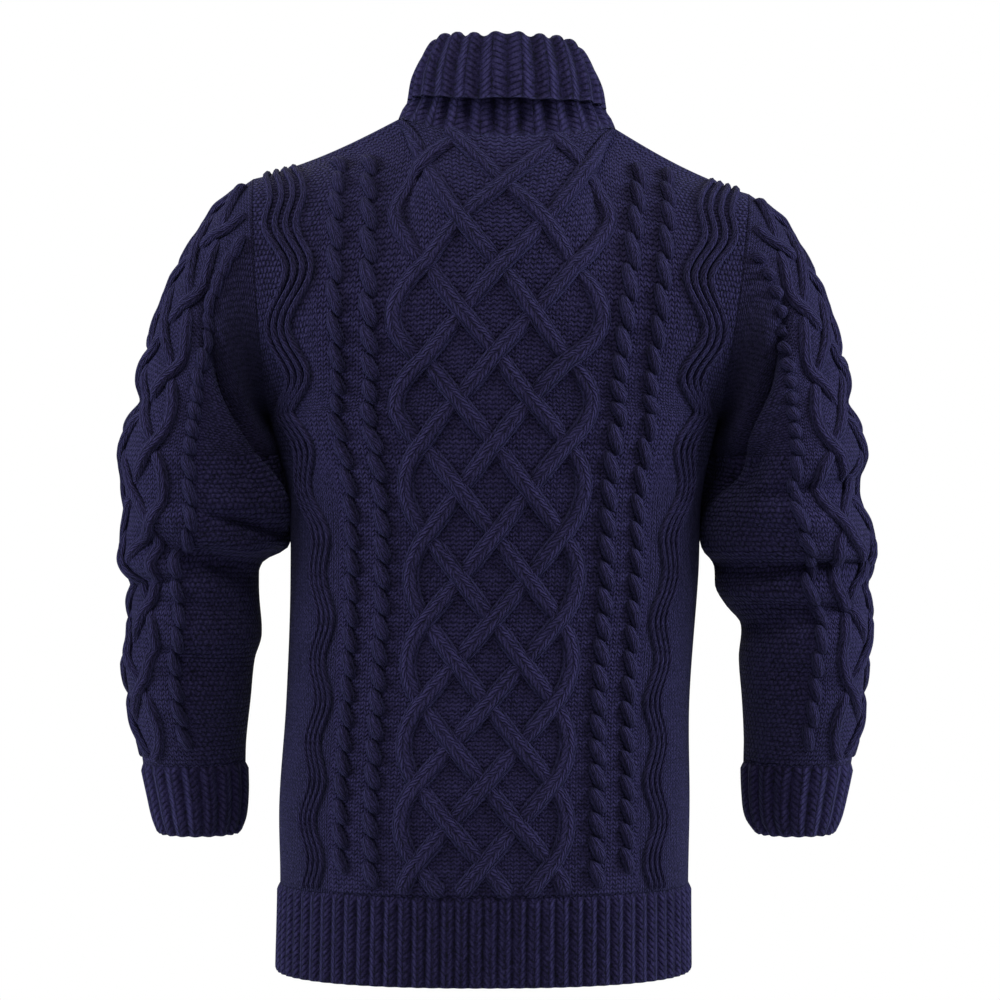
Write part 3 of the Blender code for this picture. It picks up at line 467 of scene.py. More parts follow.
def open_group(name, inputs, outputs):
    """A node group. Place, where the cloth is, is a vector and everything else a number."""
    tree = bpy.data.node_groups.new(name, "ShaderNodeTree")
    for label in inputs:
        kind = "NodeSocketVector" if label == "Place" else "NodeSocketFloat"
        tree.interface.new_socket(label, in_out="INPUT", socket_type=kind)
    for label in outputs:
        tree.interface.new_socket(label, in_out="OUTPUT", socket_type="NodeSocketFloat")
    inside, result = tree.nodes.new("NodeGroupInput"), tree.nodes.new("NodeGroupOutput")
    return tree, inside.outputs, result


def wavering_place(tree, place, amounts):
    """A stitch place, shifted a little so that no two stitches are alike."""
    noise = add_node(tree, "TexNoise", {"Vector": place, "Scale": 0.9, "Detail": 2.0})
    own = add_node(tree, "SeparateXYZ", {0: place}).outputs
    shift = add_node(tree, "SeparateXYZ", {0: noise.outputs["Color"]}).outputs
    return [
        work(tree, shift[i], ("SUBTRACT", 0.5), ("MULTIPLY_ADD", amounts[i], own[i]))
        for i in range(2)
    ]


# how far a stitch strays in columns and rows, where it is at its most uneven
KNIT_STRAY = (0.35, 1.6)
PURL_STRAY = (0.5, 0.7)
MOSS_STRAY = (1.0, 1.1)
# powers below 1 make yarn look round and full
LEG_POWER = 0.6
GAP_POWER = 0.8
PURL_POWER = 0.8
MOSS_POWER = 0.7
LEG_SHARE = 0.35
GAP_FLOOR = 0.10
PURL_WAVE = 0.19
PURL_KNOB = 0.4


def knit_stitches():
    """Columns of V stitches. Slant is how far each leg climbs, in rows, Gap is the share of a
    column that sinks between it and the next, and Waver is how uneven the stitches are."""
    sockets = ("Place", "Slant", "Gap", "Waver")
    tree, inside, result = open_group("knit stitches", sockets, ("Height",))
    amounts = [work(tree, inside["Waver"], ("MULTIPLY", stray)) for stray in KNIT_STRAY]
    x, y = wavering_place(tree, inside["Place"], amounts)
    fold = work(tree, x, "FRACT", ("MULTIPLY_ADD", 2.0, -1.0), "ABSOLUTE")
    phase = work(tree, y, ("SUBTRACT", work(tree, fold, ("MULTIPLY", inside["Slant"]))), "FRACT")
    leg = work(tree, phase, ("MULTIPLY", math.pi), "SINE", ("POWER", LEG_POWER))
    middle = work(tree, fold, ("DIVIDE", LEG_SHARE), ("MINIMUM", 1.0), ("POWER", LEG_POWER))
    edge = work(tree, 1.0, ("SUBTRACT", fold), ("DIVIDE", inside["Gap"]), ("MINIMUM", 1.0))
    edge = work(tree, edge, ("POWER", GAP_POWER), ("MULTIPLY_ADD", 1 - GAP_FLOOR, GAP_FLOOR))
    set_inputs(result, {"Height": work(tree, leg, ("MULTIPLY", middle), ("MULTIPLY", edge))})
    return tree


def purl_bumps():
    """Rows of wavy bumps: the back of plain knitting."""
    tree, inside, result = open_group("purl bumps", ("Place",), ("Height",))
    x, y = wavering_place(tree, inside["Place"], PURL_STRAY)
    turn = work(tree, x, ("MULTIPLY", 2 * math.pi))
    bent = work(tree, turn, "SINE", ("MULTIPLY_ADD", PURL_WAVE, y), ("MULTIPLY", math.pi))
    knob = work(tree, turn, "COSINE", "ABSOLUTE", ("MULTIPLY_ADD", PURL_KNOB, 1 - PURL_KNOB))
    ridge = work(tree, bent, "SINE", "ABSOLUTE", ("POWER", PURL_POWER))
    set_inputs(result, {"Height": work(tree, ridge, ("MULTIPLY", knob))})
    return tree


def moss_bumps():
    """Knit and purl by turns: small knobs in a staggered net."""
    tree, inside, result = open_group("moss bumps", ("Place",), ("Height",))
    x, y = wavering_place(tree, inside["Place"], MOSS_STRAY)
    x = work(tree, y, "FLOOR", ("MODULO", 2.0), ("MULTIPLY_ADD", 0.5, x))
    across, along = (work(tree, v, ("MULTIPLY", math.pi), "SINE", "ABSOLUTE") for v in (x, y))
    height = work(tree, across, ("MULTIPLY", along), ("POWER", MOSS_POWER))
    set_inputs(result, {"Height": height})
    return tree


# noise scale and detail of fibres, tufts and worn patches, and how much each lightens the wool
NAP_LEVELS = ((700.0, 4.0, 1.5), (240.0, 2.0, 0.9), (14.0, 2.0, 0.3))


def wool_nap():
    """Loose fibres: Fibre is their fine relief and Fleck how light each tuft of yarn is."""
    tree, inside, result = open_group("wool nap", ("Place",), ("Fibre", "Fleck"))
    fleck = 0.5
    levels = []
    for scale, detail, share in NAP_LEVELS:
        inputs = {"Vector": inside["Place"], "Scale": scale, "Detail": detail}
        levels.append(add_node(tree, "TexNoise", inputs).outputs["Fac"])
        fleck = work(tree, levels[-1], ("SUBTRACT", 0.5), ("MULTIPLY_ADD", share, fleck))
    set_inputs(result, {"Fibre": levels[0], "Fleck": fleck})
    return tree


GROUPS = {
    "knit": knit_stitches(),
    "purl": purl_bumps(),
    "moss": moss_bumps(),
    "nap": wool_nap(),
}
# the darkest navy is painted shade in the hollows between stitches and dark random flecks; the
# lightest is painted highlight on the raised yarn and light flecks and worn patches
SHADE_AND_DARK_FLECK_NAVY = (0.0010, 0.0008, 0.0036)
NAVY = (0.0084, 0.0060, 0.0268)
WORN_AND_HIGHLIGHT_NAVY = (0.0230, 0.0190, 0.0580)
SHEEN_TINT = (0.42, 0.48, 1.0)
NAP_STRENGTH = 0.6
NAP_HEIGHT = 0.0006


def open_material(name):
    material = bpy.data.materials.new(name)
    material.use_nodes = True
    return material, material.node_tree, material.node_tree.nodes["Principled BSDF"]


def shade(tree, level, *stops):
    """Colours from low to high on a level, each given with its place."""
    node = add_node(tree, "ValToRGB", {"Fac": level})
    first, *between, last = stops
    for element, (place, colour) in zip(node.color_ramp.elements, (first, last)):
        element.position = place
        element.color = (*colour, 1)
    for place, colour in between:
        node.color_ramp.elements.new(place).color = (*colour, 1)
    return node.outputs["Color"]


def wool(name, ground, slant=1.0, depth=0.0011, deep=0.75, gap=0.22, waver=1.0):
    """Navy wool. ground is 'knit', or 'zones', which goes by the cloth's own zones: purl,
    moss where zone x is 1 and knit where zone y is 1. deep is how strongly the stitch relief
    paints shade into its hollows and highlight onto its raised yarn."""
    material, tree, shader = open_material(name)
    place = add_node(tree, "UVMap", uv_map="stitches").outputs["UV"]
    heights = {}
    for kind in ("knit", "purl", "moss") if ground == "zones" else (ground,):
        inputs = {"Place": place}
        if kind == "knit":
            inputs.update(Slant=slant, Gap=gap, Waver=waver)
        relief = add_node(tree, "Group", inputs, node_tree=GROUPS[kind])
        heights[kind] = relief.outputs["Height"]
    height = heights["knit"]
    if ground == "zones":
        zone = add_node(tree, "Attribute", attribute_name="zone").outputs["Vector"]
        parts = add_node(tree, "SeparateXYZ", {0: zone}).outputs
        height = heights["purl"]
        for kind, share in (("moss", parts[0]), ("knit", parts[1])):
            inputs = {"Factor": share, "A": height, "B": heights[kind]}
            height = add_node(tree, "Mix", inputs).outputs["Result"]
    spot = add_node(tree, "TexCoord").outputs["Object"]
    nap = add_node(tree, "Group", {"Place": spot}, node_tree=GROUPS["nap"]).outputs
    fleck = work(tree, nap["Fleck"], ("SUBTRACT", 0.30))
    # the stitch relief sets the level as well as the nap's random flecks: painted shade where the
    # yarn sinks, painted highlight where it rises
    level = work(tree, height, ("MULTIPLY_ADD", deep, fleck))
    colour = shade(tree, level, (0.10, SHADE_AND_DARK_FLECK_NAVY), (0.52, NAVY), (1.0, WORN_AND_HIGHLIGHT_NAVY))
    stitch_relief = {"Strength": 1.0, "Distance": depth, "Height": height}
    stitches = add_node(tree, "Bump", stitch_relief).outputs["Normal"]
    fibre_relief = {"Strength": NAP_STRENGTH, "Distance": NAP_HEIGHT, "Height": nap["Fibre"]}
    fibres = add_node(tree, "Bump", {**fibre_relief, "Normal": stitches})
    looks = {
        "Base Color": colour,
        "Normal": fibres.outputs["Normal"],
        "Roughness": 0.92,
        "Specular IOR Level": 0.10,
        "Sheen Weight": 0.06,
        "Sheen Roughness": 0.55,
        "Sheen Tint": (*SHEEN_TINT, 1),
    }
    set_inputs(shader, looks)
    return material


ground_wool = wool("navy wool, purl ground", "zones", depth=0.0018)
cable_wool = wool("navy wool, cables", "knit", slant=2.0, depth=0.0015)
rib_wool = wool("navy wool, ribs", "knit", slant=1.2, deep=0.72, gap=0.62, waver=0.2)

STITCH_WIDTH = 0.0052
ROWS_PER_COUNT = 9.4
LATTICE_STEP = 0.0285
LATTICE_STRANDS = 6
STRAND_HALF = 0.0074
STRAND_RISE = 0.0048
STRAND_OVER = 0.0014
STRAND_UNDER = 0.0042
# the outer turns of the lattice bulge towards the neck
LATTICE_BULGE = table(
    "count bulge",
    (-1, 0.90), (7, 0.96), (9.5, 1.25), (11, 1.40), (12.5, 1.80), (14, 2.00), (15, 2.50),
    (16, 1.60), (17.2, 1.50),
)
ROPES = table(
    "middle swing half rise",
    (0.0960, 0.0046, 0.0060, 0.0046),
    (0.1240, 0.0044, 0.0056, 0.0044),
)
# how far the ropes lean out towards the shoulders
ROPE_SPREAD = table(
    "count out",
    (-1, 0), (10, 0), (11, 0.0030), (12.3, 0.0055), (13.8, 0.0105), (14.8, 0.0195),
    (15.8, 0.0300), (17.2, 0.0380),
)
ROPE_REPEAT = 0.61
ROPE_LENGTH = 0.88
ROPE_START = 0.1
ROPE_STAGGER = 0.3
ROPE_LIFT = 0.0022
ROPE_TUCK = 0.0034
# how full a rope's lobe still is where it is tucked under
ROPE_TUCKED_SHARE = 0.45
# four thin ribs side by side swing out and in together
WAVY_RIBS = 4
WAVES = table(
    "count middle swing pitch",
    (-1, 0.1560, 0.0045, 0.0056),
    (6.8, 0.1560, 0.0048, 0.0056),
    (8.2, 0.1660, 0.0065, 0.0062),
    (10, 0.1740, 0.0080, 0.0070),
    (12, 0.1765, 0.0085, 0.0072),
    (15, 0.1780, 0.0085, 0.0072),
    (16, 0.1960, 0.0050, 0.0072),
    (17.2, 0.2000, 0.0030, 0.0072),
)
WAVY_HALF = 0.40
WAVY_RISE = 0.0040
GROUND_STEP = 0.004
# how sharply a strand leaves one crossing for the next
CROSSING_POWER = 1.8
SHORTEST_CORD = 8
CORD_POINTS = 420


def strand_path(k, counts, step, strands, bulge=1):
    """Where strand k lies across the panel at each count; it turns roundly at the sides."""
    reach = strands / 2 * step
    path = (1 + 2 * k + counts) * step % (4 * reach)
    place = np.where(path <= 2 * reach, path - reach, 3 * reach - path)
    past = np.maximum(np.abs(place) - (reach - step), 0)
    turned = reach - step + (past - past**2 / (2 * step)) * bulge
    return np.where(past > 0, np.sign(place) * turned, place)


def over_under(place, counts):
    """Strands that lean one way pass over at odd counts, and the others at even ones."""
    lean = np.gradient(place, counts)
    lean = lean / max(np.abs(lean).max(), 1e-9)
    beat = -np.cos(math.pi * counts)
    sharp = np.sign(beat) * np.abs(beat) ** CROSSING_POWER * lean
    return sharp * np.where(sharp > 0, STRAND_OVER, STRAND_UNDER)


def rope_lobe(start):
    """One lobe of a rope: it leans across the rope's line, tucked under at both ends."""
    t = np.linspace(0, 1, 15)
    arch = np.sin(math.pi * t)
    lift = arch * (ROPE_LIFT + ROPE_TUCK) - ROPE_TUCK
    full = ROPE_TUCKED_SHARE + (1 - ROPE_TUCKED_SHARE) * arch
    return start + ROPE_LENGTH * t, -np.cos(math.pi * t), lift, full


def untrimmed(reach, counts):
    """The column that lies at a length along the cloth, where the armhole trims the side."""
    rises = rise_of(counts)
    trimmed = read_all(PANEL_REACH, "reach", rises) - TRIM_START
    column = TRIM_START + (reach - TRIM_START) * (HALF_GIRTH - TRIM_START) / trimmed
    return np.where((reach > TRIM_START) & (rises > 0), column, reach)


def panel_cords(name, cloth, sides, to_column):
    """A panel's lattice, ropes and wavy ribs, laid where to_column says that they fit."""
    knits = {"lattice": Knitting(), "ropes": Knitting(), "wavy_ribs": Knitting()}

    def lay(kind, places, at, half, rise, lift, columns, round_sides):
        column, fits = to_column(places, at)
        half = np.broadcast_to(half, at.shape)
        edges = np.flatnonzero(np.diff(np.concatenate([[0], fits.astype(int), [0]])))
        for a, b in zip(edges[::2], edges[1::2]):
            if b - a > SHORTEST_CORD:
                path = column[a:b], at[a:b], half[a:b], rise, lift[a:b]
                lay_cord(knits[kind], cloth, *path, columns, round_sides)

    fine = np.linspace(BOTTOM_COUNT, TOP_COUNT, CORD_POINTS)
    bulge = read_all(LATTICE_BULGE, "bulge", fine)
    for k in range(LATTICE_STRANDS):
        place = strand_path(k, fine, LATTICE_STEP, LATTICE_STRANDS, bulge)
        lift = over_under(place, fine)
        lay("lattice", place, fine, STRAND_HALF, STRAND_RISE, lift, 2, 12)
    starts = np.arange(BOTTOM_COUNT + ROPE_START, TOP_COUNT - ROPE_LENGTH, ROPE_REPEAT)
    for i, middle in enumerate(ROPES["middle"]):
        for side in sides:
            for start in starts:
                at, lean, lift, full = rope_lobe(start + ROPE_STAGGER * i)
                out = read_all(ROPE_SPREAD, "out", at)
                place = side * (middle + out) + lean * ROPES["swing"][i]
                lay("ropes", place, at, ROPES["half"][i] * full, ROPES["rise"][i], lift, 2, 8)
    middle, swing, pitch = (read_all(WAVES, key, fine) for key in ("middle", "swing", "pitch"))
    for i in range(WAVY_RIBS):
        swung = middle - swing * np.cos(math.pi * fine) + (i - (WAVY_RIBS - 1) / 2) * pitch
        for side in sides:
            place = side * untrimmed(swung, fine)
            lay("wavy_ribs", place, fine, WAVY_HALF * pitch, WAVY_RISE, 0 * fine, 1, 8)
    return [knit.make(f"{name}_{kind}", cable_wool) for kind, knit in knits.items()]


# where the ground changes beside the ropes and above the arms, and over how much
KNIT_REACH, KNIT_FADE = 0.134, 0.003
MOSS_REACH, MOSS_FADE = 0.160, 0.004
MOSS_COUNT, MOSS_RISE = 8.5, 1.5
SEAM_MARGIN = 0.004


def panel_zones(reach, counts):
    """Outside the ropes knit below the arms and moss stitch above them; purl elsewhere."""
    above = np.clip((counts - MOSS_COUNT) / MOSS_RISE, 0, 1)
    moss = np.clip((reach - MOSS_REACH) / MOSS_FADE, 0, 1) * above
    knit = np.clip((reach - KNIT_REACH) / KNIT_FADE, 0, 1) * (1 - above)
    return np.stack(np.broadcast_arrays(moss, knit, 0.0), -1)


def stand_for(node, piece, others=()):
    """The piece takes its solid's place: it and the others on it hang on the root body, and the
    solid is hidden.
    """
    for each in (piece, *others):
        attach(each, "root")
    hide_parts(node)


def back_column(places, at):
    return places, np.abs(places) < HALF_GIRTH - SEAM_MARGIN


counts = np.linspace(BOTTOM_COUNT, TOP_COUNT, 156)
form_counts = np.linspace(BOTTOM_COUNT, TOP_COUNT, 76)
back_cloth = Cloth(back_point, np.linspace(-HALF_GIRTH, HALF_GIRTH, 75), form_counts, facing=-1)
columns = np.linspace(-HALF_GIRTH, HALF_GIRTH, int(2 * HALF_GIRTH / GROUND_STEP) + 1)
across = columns[:, None]
back = knit_shell(
    "back", ground_wool, back_cloth, columns, counts,
    (across / STITCH_WIDTH, counts * ROWS_PER_COUNT), zones=panel_zones(np.abs(across), counts),
)
back_pieces = panel_cords("back", back_cloth, (1, -1), back_column)
stand_for("back", back, back_pieces)

# =============================================================================
# The two fronts: knitted like the back, each cut to a long V at the neck. They
# are sewn to the back at the sides and shoulders, and to the bands at the centre.
# =============================================================================
BAND_HALF_WIDTH = 0.020
BAND_SHARE = 0.16
FRONT_START = BAND_HALF_WIDTH + SEAM
TURN_IN = 0.096
NECKLINE = table(
    "z out y",
    (-0.237, 0.0203, -0.116),
    (-0.200, 0.0203, -0.1155),
    (-0.150, 0.0350, -0.104),
    (-0.100, 0.0510, -0.088),
    (-0.050, 0.0690, -0.062),
    (-0.015, 0.0830, -0.030),
    (0.007, 0.0900, 0.010),
)
NECK_TOP_Z = NECKLINE["z"][-1]
# the height, as a share, from which a front's chest flattens, and over how much
FLAT_START, FLAT_SHARE = 0.4, 0.45
EDGE_MARGIN = 0.007


def neckline(side, share):
    """The cut edge of a front, from the underarm's height (0) to the neck's corner (1)."""
    z = UNDERARM_Z + (NECK_TOP_Z - UNDERARM_Z) * share
    out = max(read(NECKLINE, "out", z), NECKLINE["out"][0])
    y = read(NECKLINE, "y", z)
    past_band = max(share - BAND_SHARE, 0) / (1 - BAND_SHARE)
    band_edge = abs(ring(side * FRONT_START, UNDERARM_Z, "front")[0] - CHEST_CENTRE)
    start, end = NECKLINE["out"][0], NECKLINE["out"][-1]
    out = band_edge + (out - start) * (end - band_edge) / (end - start)
    x = CHEST_CENTRE + (NECK_CENTRE - CHEST_CENTRE) * past_band + side * out
    return np.array([x, y, z + (NECK_SIDE_Z[side] - NECK_TOP_Z) * share])


def front_point(side, u, count):
    """A front's wall; u runs from its edge at the band to the side seam."""
    if count <= UNDERARM_COUNT:
        return ring(side * u, row_height(count), "front")
    v = rise_of(count)
    start, end = neckline(side, v), armhole(side, 1 - v * 0.5)
    cut = neck_cut(v)
    share = (front_reach(u, v) - cut) / (read(PANEL_REACH, "reach", v) - cut)
    straight = start + (end - start) * share
    flat = ease((v - FLAT_START) / FLAT_SHARE)
    point = straight
    if flat < 1:
        rounded = chest(start, end, share, CHEST_CENTRE)
        point = rounded + (straight - rounded) * flat
    top_share = neck_share(front_reach(u, 1))
    top_straight = neckline(side, 1) + (armhole(side, 0.5) - neckline(side, 1)) * top_share
    return point + slope(v) * (shoulder(side, top_share) - top_straight)


def neck_cut(v):
    """How far from the centre the V has cut into a front, along the cloth."""
    z = UNDERARM_Z + (NECK_TOP_Z - UNDERARM_Z) * max(v, 0)
    return min(read(NECKLINE, "out", z), NECK_HALF_WIDTH)


def neck_share(reach):
    return (reach - NECK_HALF_WIDTH) / (TOP_REACH - NECK_HALF_WIDTH)


def gathered(u, cut):
    """Where column u lies once the V has cut in so far: the inner columns draw together."""
    return cut + (u - FRONT_START) * (TURN_IN - cut) / (TURN_IN - FRONT_START)


def front_reach(u, v):
    """Where column u lies along a front from the centre."""
    return along_panel(u, v) if u >= TURN_IN else gathered(u, neck_cut(v))


def cuts_at(counts):
    return np.array(
        [neck_cut(rise_of(at)) if at > UNDERARM_COUNT else FRONT_START for at in counts]
    )


columns = np.linspace(FRONT_START, HALF_GIRTH, int((HALF_GIRTH - FRONT_START) / GROUND_STEP) + 1)
across = columns[:, None]
reaches = np.where(across < TURN_IN, gathered(across, cuts_at(counts)), across)
for side, name in ((1, "front_left"), (-1, "front_right")):

    def front_column(places, at, side=side):
        cuts, own = cuts_at(at), places * side
        ungathered = FRONT_START + (own - cuts) * (TURN_IN - FRONT_START) / (TURN_IN - cuts)
        column = np.where(own < TURN_IN, ungathered, own)
        inside = (column > FRONT_START + EDGE_MARGIN) & (own > cuts + EDGE_MARGIN)
        fits = inside & (column < HALF_GIRTH - SEAM_MARGIN)
        return np.clip(column, FRONT_START, HALF_GIRTH), fits

    cloth = Cloth(
        lambda u, count: front_point(side, u, count), np.linspace(FRONT_START, HALF_GIRTH, 38),
        form_counts, facing=side,
    )
    front = knit_shell(
        name, ground_wool, cloth, columns, counts,
        (side * reaches / STITCH_WIDTH, counts * ROWS_PER_COUNT),
        zones=panel_zones(reaches, counts),
    )
    front_pieces = panel_cords(name, cloth, (side,), front_column)
    stand_for(name, front, front_pieces)

# =============================================================================
# The hem welts: single rib knitted on below the back and each front, which pulls
# the cloth in a little. They run into the side seams and up to the bands.
# =============================================================================
HEM_END_Z = -0.699
RIB_RISE = 0.0028
RIB_ROUNDNESS = 0.7
RIB_ROW = 0.0052
RIB_FADE = 0.005
# how full the ribs are at the cut end, and over how much they fill out
RIB_END_SHARE, RIB_END_FADE = 0.55, 0.006
HEMS = (
    ("hem_back", "back", 1, -HALF_GIRTH, HALF_GIRTH, 40),
    ("hem_front_left", "front", 1, FRONT_START, HALF_GIRTH, 18),
    ("hem_front_right", "front", -1, FRONT_START, HALF_GIRTH, 18),
)
POINTS_PER_RIB = 10


def rib_shape(phase):
    """A rib's height over one pitch: a round column of knitting between narrow purl gaps."""
    return ((1 - np.cos(2 * np.pi * phase)) / 2) ** RIB_ROUNDNESS


def ribbed_ends(at, low, high):
    """Ribs sink to nothing close to the seam at their top and soften at the cut end."""
    end = np.clip(RIB_END_SHARE + (at - low) / RIB_END_FADE, 0, 1)
    return np.clip((high - at) / RIB_FADE, 0, 1) * end


# the welts take a darker copy of the rib wool, with less painted highlight on the ribs: painted
# shade for the dimmer light at the hem
shaded_welt_wool = wool("navy wool, welts", "knit", slant=1.2, deep=0.60, gap=0.50, waver=0.2)
hem_top = row_height(BOTTOM_COUNT) - SEAM
for name, face, side, start, end, ribs in HEMS:
    cloth = Cloth(
        lambda u, z: ring(side * u, z, face), np.linspace(start, end, 41),
        np.linspace(HEM_END_Z, hem_top, 12), facing=-1 if face == "back" else side,
    )
    places = np.linspace(start, end, ribs * POINTS_PER_RIB + 1)
    heights = np.linspace(HEM_END_Z, hem_top, 26)
    phase = (places[:, None] - start) / (end - start) * ribs
    hem = knit_shell(
        name, shaded_welt_wool, cloth, places, heights, (phase, (heights - HEM_END_Z) / RIB_ROW),
        RIB_RISE * rib_shape(phase) * ribbed_ends(heights, HEM_END_Z, hem_top),
    )
    stand_for(name, hem)

# =============================================================================
# The sleeves: knitted flat from the cuff up and sewn in a tube under the arm. A
# lattice of four cables runs down the outer arm between ropes, then moss stitch.
# Cloth gathers in soft folds at each elbow.
# =============================================================================
ARM_TOP_Z = -0.270
CUFF_TOP_Z = -0.5285
CUFF_END_Z = -0.588
ARMS = {
    1: table(
        "z inner outer depth middle",
        (-0.270, 0.1880, 0.3100, 0.074, 0.004),
        (-0.300, 0.1800, 0.3080, 0.072, 0.004),
        (-0.325, 0.1765, 0.3060, 0.069, 0.004),
        (-0.345, 0.1755, 0.3100, 0.067, 0.003),
        (-0.357, 0.1960, 0.3120, 0.062, 0.001),
        (-0.373, 0.2000, 0.3050, 0.060, 0.000),
        (-0.420, 0.1980, 0.3045, 0.060, -0.006),
        (-0.440, 0.2040, 0.3095, 0.059, -0.009),
        (-0.475, 0.2080, 0.3060, 0.055, -0.014),
        (-0.508, 0.2120, 0.2985, 0.050, -0.020),
        (-0.529, 0.2130, 0.2965, 0.046, -0.024),
        (-0.555, 0.2130, 0.2915, 0.042, -0.027),
        (-0.575, 0.2150, 0.2870, 0.039, -0.028),
        (-0.588, 0.2200, 0.2820, 0.034, -0.029),
    ),
    -1: table(
        "z inner outer depth middle",
        (-0.270, 0.1880, 0.3060, 0.074, 0.004),
        (-0.300, 0.1800, 0.3000, 0.072, 0.004),
        (-0.325, 0.1765, 0.3080, 0.069, 0.004),
        (-0.345, 0.1765, 0.3150, 0.067, 0.003),
        (-0.360, 0.1850, 0.3190, 0.064, 0.001),
        (-0.378, 0.1860, 0.3080, 0.061, 0.000),
        (-0.395, 0.1960, 0.3140, 0.060, -0.003),
        (-0.410, 0.2080, 0.3130, 0.059, -0.005),
        (-0.440, 0.2070, 0.3100, 0.058, -0.009),
        (-0.475, 0.2100, 0.3080, 0.055, -0.014),
        (-0.508, 0.2120, 0.3030, 0.050, -0.020),
        (-0.529, 0.2120, 0.3000, 0.046, -0.024),
        (-0.555, 0.2130, 0.2950, 0.042, -0.027),
        (-0.575, 0.2160, 0.2900, 0.039, -0.028),
        (-0.588, 0.2250, 0.2840, 0.034, -0.029),
    ),
}
# each fold: where it lies round the sleeve, its height there and its lean, and its size; the
# first eight are in the solids too and the finer ones are not
CREASES = {
    1: table(
        "turn z lean reach width depth",
        (0.24, -0.352, 0.10, 0.16, 0.010, 0.009),
        (0.30, -0.320, -0.06, 0.14, 0.010, -0.005),
        (0.28, -0.392, 0.05, 0.16, 0.011, 0.006),
        (0.75, -0.335, -0.08, 0.16, 0.011, 0.008),
        (0.72, -0.385, -0.04, 0.15, 0.011, 0.006),
        (0.36, -0.190, 0.10, 0.10, 0.014, 0.005),
        (0.26, -0.450, -0.05, 0.12, 0.012, 0.004),
        (0.50, -0.224, 0.00, 0.14, 0.013, 0.010),
        (0.13, -0.327, 0.090, 0.14, 0.0065, 0.0115),
        (0.10, -0.343, 0.070, 0.09, 0.0050, 0.0070),
        (0.10, -0.356, -0.050, 0.10, 0.0055, 0.0030),
        (0.36, -0.374, -0.030, 0.12, 0.0060, 0.0060),
        (0.16, -0.225, 0.600, 0.12, 0.0110, 0.0140),
        (0.16, -0.252, 0.600, 0.10, 0.0120, -0.0060),
        (0.00, -0.300, 0.000, 0.12, 0.0400, -0.0055),
        (1.00, -0.300, 0.000, 0.12, 0.0400, -0.0055),
        (0.08, -0.300, 0.100, 0.06, 0.0300, -0.0060),
        (0.00, -0.258, 0.000, 0.12, 0.0200, -0.0058),
        (1.00, -0.258, 0.000, 0.12, 0.0200, -0.0058),
        (0.30, -0.432, 0.060, 0.10, 0.0060, 0.0045),
        (0.80, -0.350, 0.060, 0.14, 0.0060, 0.0070),
    ),
    -1: table(
        "turn z lean reach width depth",
        (0.24, -0.368, 0.04, 0.20, 0.010, 0.009),
        (0.27, -0.322, -0.07, 0.16, 0.010, -0.006),
        (0.26, -0.405, 0.03, 0.18, 0.011, 0.007),
        (0.74, -0.345, -0.06, 0.16, 0.011, 0.008),
        (0.72, -0.395, -0.04, 0.15, 0.011, 0.006),
        (0.36, -0.200, 0.10, 0.10, 0.014, 0.005),
        (0.25, -0.455, -0.05, 0.12, 0.012, 0.004),
        (0.50, -0.226, 0.00, 0.14, 0.013, 0.008),
        (0.09, -0.285, 0.000, 0.10, 0.0280, 0.0170),
        (0.30, -0.297, 0.068, 0.14, 0.0060, 0.0060),
        (0.25, -0.361, 0.000, 0.28, 0.0060, 0.0080),
        (0.27, -0.394, 0.000, 0.22, 0.0060, 0.0060),
        (0.17, -0.222, 0.600, 0.11, 0.0110, 0.0130),
        (0.17, -0.248, 0.600, 0.10, 0.0120, -0.0060),
        (0.00, -0.258, 0.000, 0.12, 0.0200, -0.0060),
        (1.00, -0.258, 0.000, 0.12, 0.0200, -0.0060),
        (0.00, -0.300, 0.000, 0.12, 0.0400, -0.0070),
        (1.00, -0.300, 0.000, 0.12, 0.0400, -0.0070),
        (0.78, -0.362, -0.050, 0.15, 0.0060, 0.0070),
    ),
}
SLEEVE_HALF_GIRTH = table("reach girth", (0.0, 0.262), (1.0, 0.215), (1.5, 0.195), (2.0, 0.140))
SLEEVE_STEP = 0.026
SLEEVE_STRANDS = 4
SLEEVE_STRAND_HALF = 0.0058
SLEEVE_ROPE_MIDDLE = 0.0625
SLEEVE_ROPE_SWING = 0.0036
SLEEVE_ROPE_HALF = 0.0052
# how far the pattern is turned towards the back
SLEEVE_TURNED = table(
    "reach back", (0, 0.030), (0.5, 0.055), (0.9, 0.048), (1.2, 0.034), (1.5, 0.024), (2.0, 0.008)
)
SLEEVE_COUNTS = 15.5
SLEEVE_ROWS = 8.6
SLEEVE_FIRST_COUNT = 0.5
SLEEVE_DROOP = table(
    "outside droop leave arrive slant",
    (0, 0.10, 0.36, 0.42, 0.00),
    (1, 0.58, 0.24, 0.36, 0.14),
)
SLEEVE_TOP_FADE = 0.08
SLEEVE_END_FADE = 0.05
SLEEVE_STITCH_SPREAD = 1.15
SLEEVE_ROPE_RISE = 0.0040
SLEEVE_CORD_START = 0.035
SLEEVE_CORD_END = 1.985
SLEEVE_MOSS_REACH = 0.071


def arm_ring(side, turn, z):
    rows = ARMS[side]
    inner, outer = read(rows, "inner", z), read(rows, "outer", z)
    angle = 2 * math.pi * turn
    x = (inner + outer) / 2 - (outer - inner) / 2 * math.cos(angle)
    y = read(rows, "middle", z) + read(rows, "depth", z) * math.sin(angle)
    return np.array([side * x, y, z])


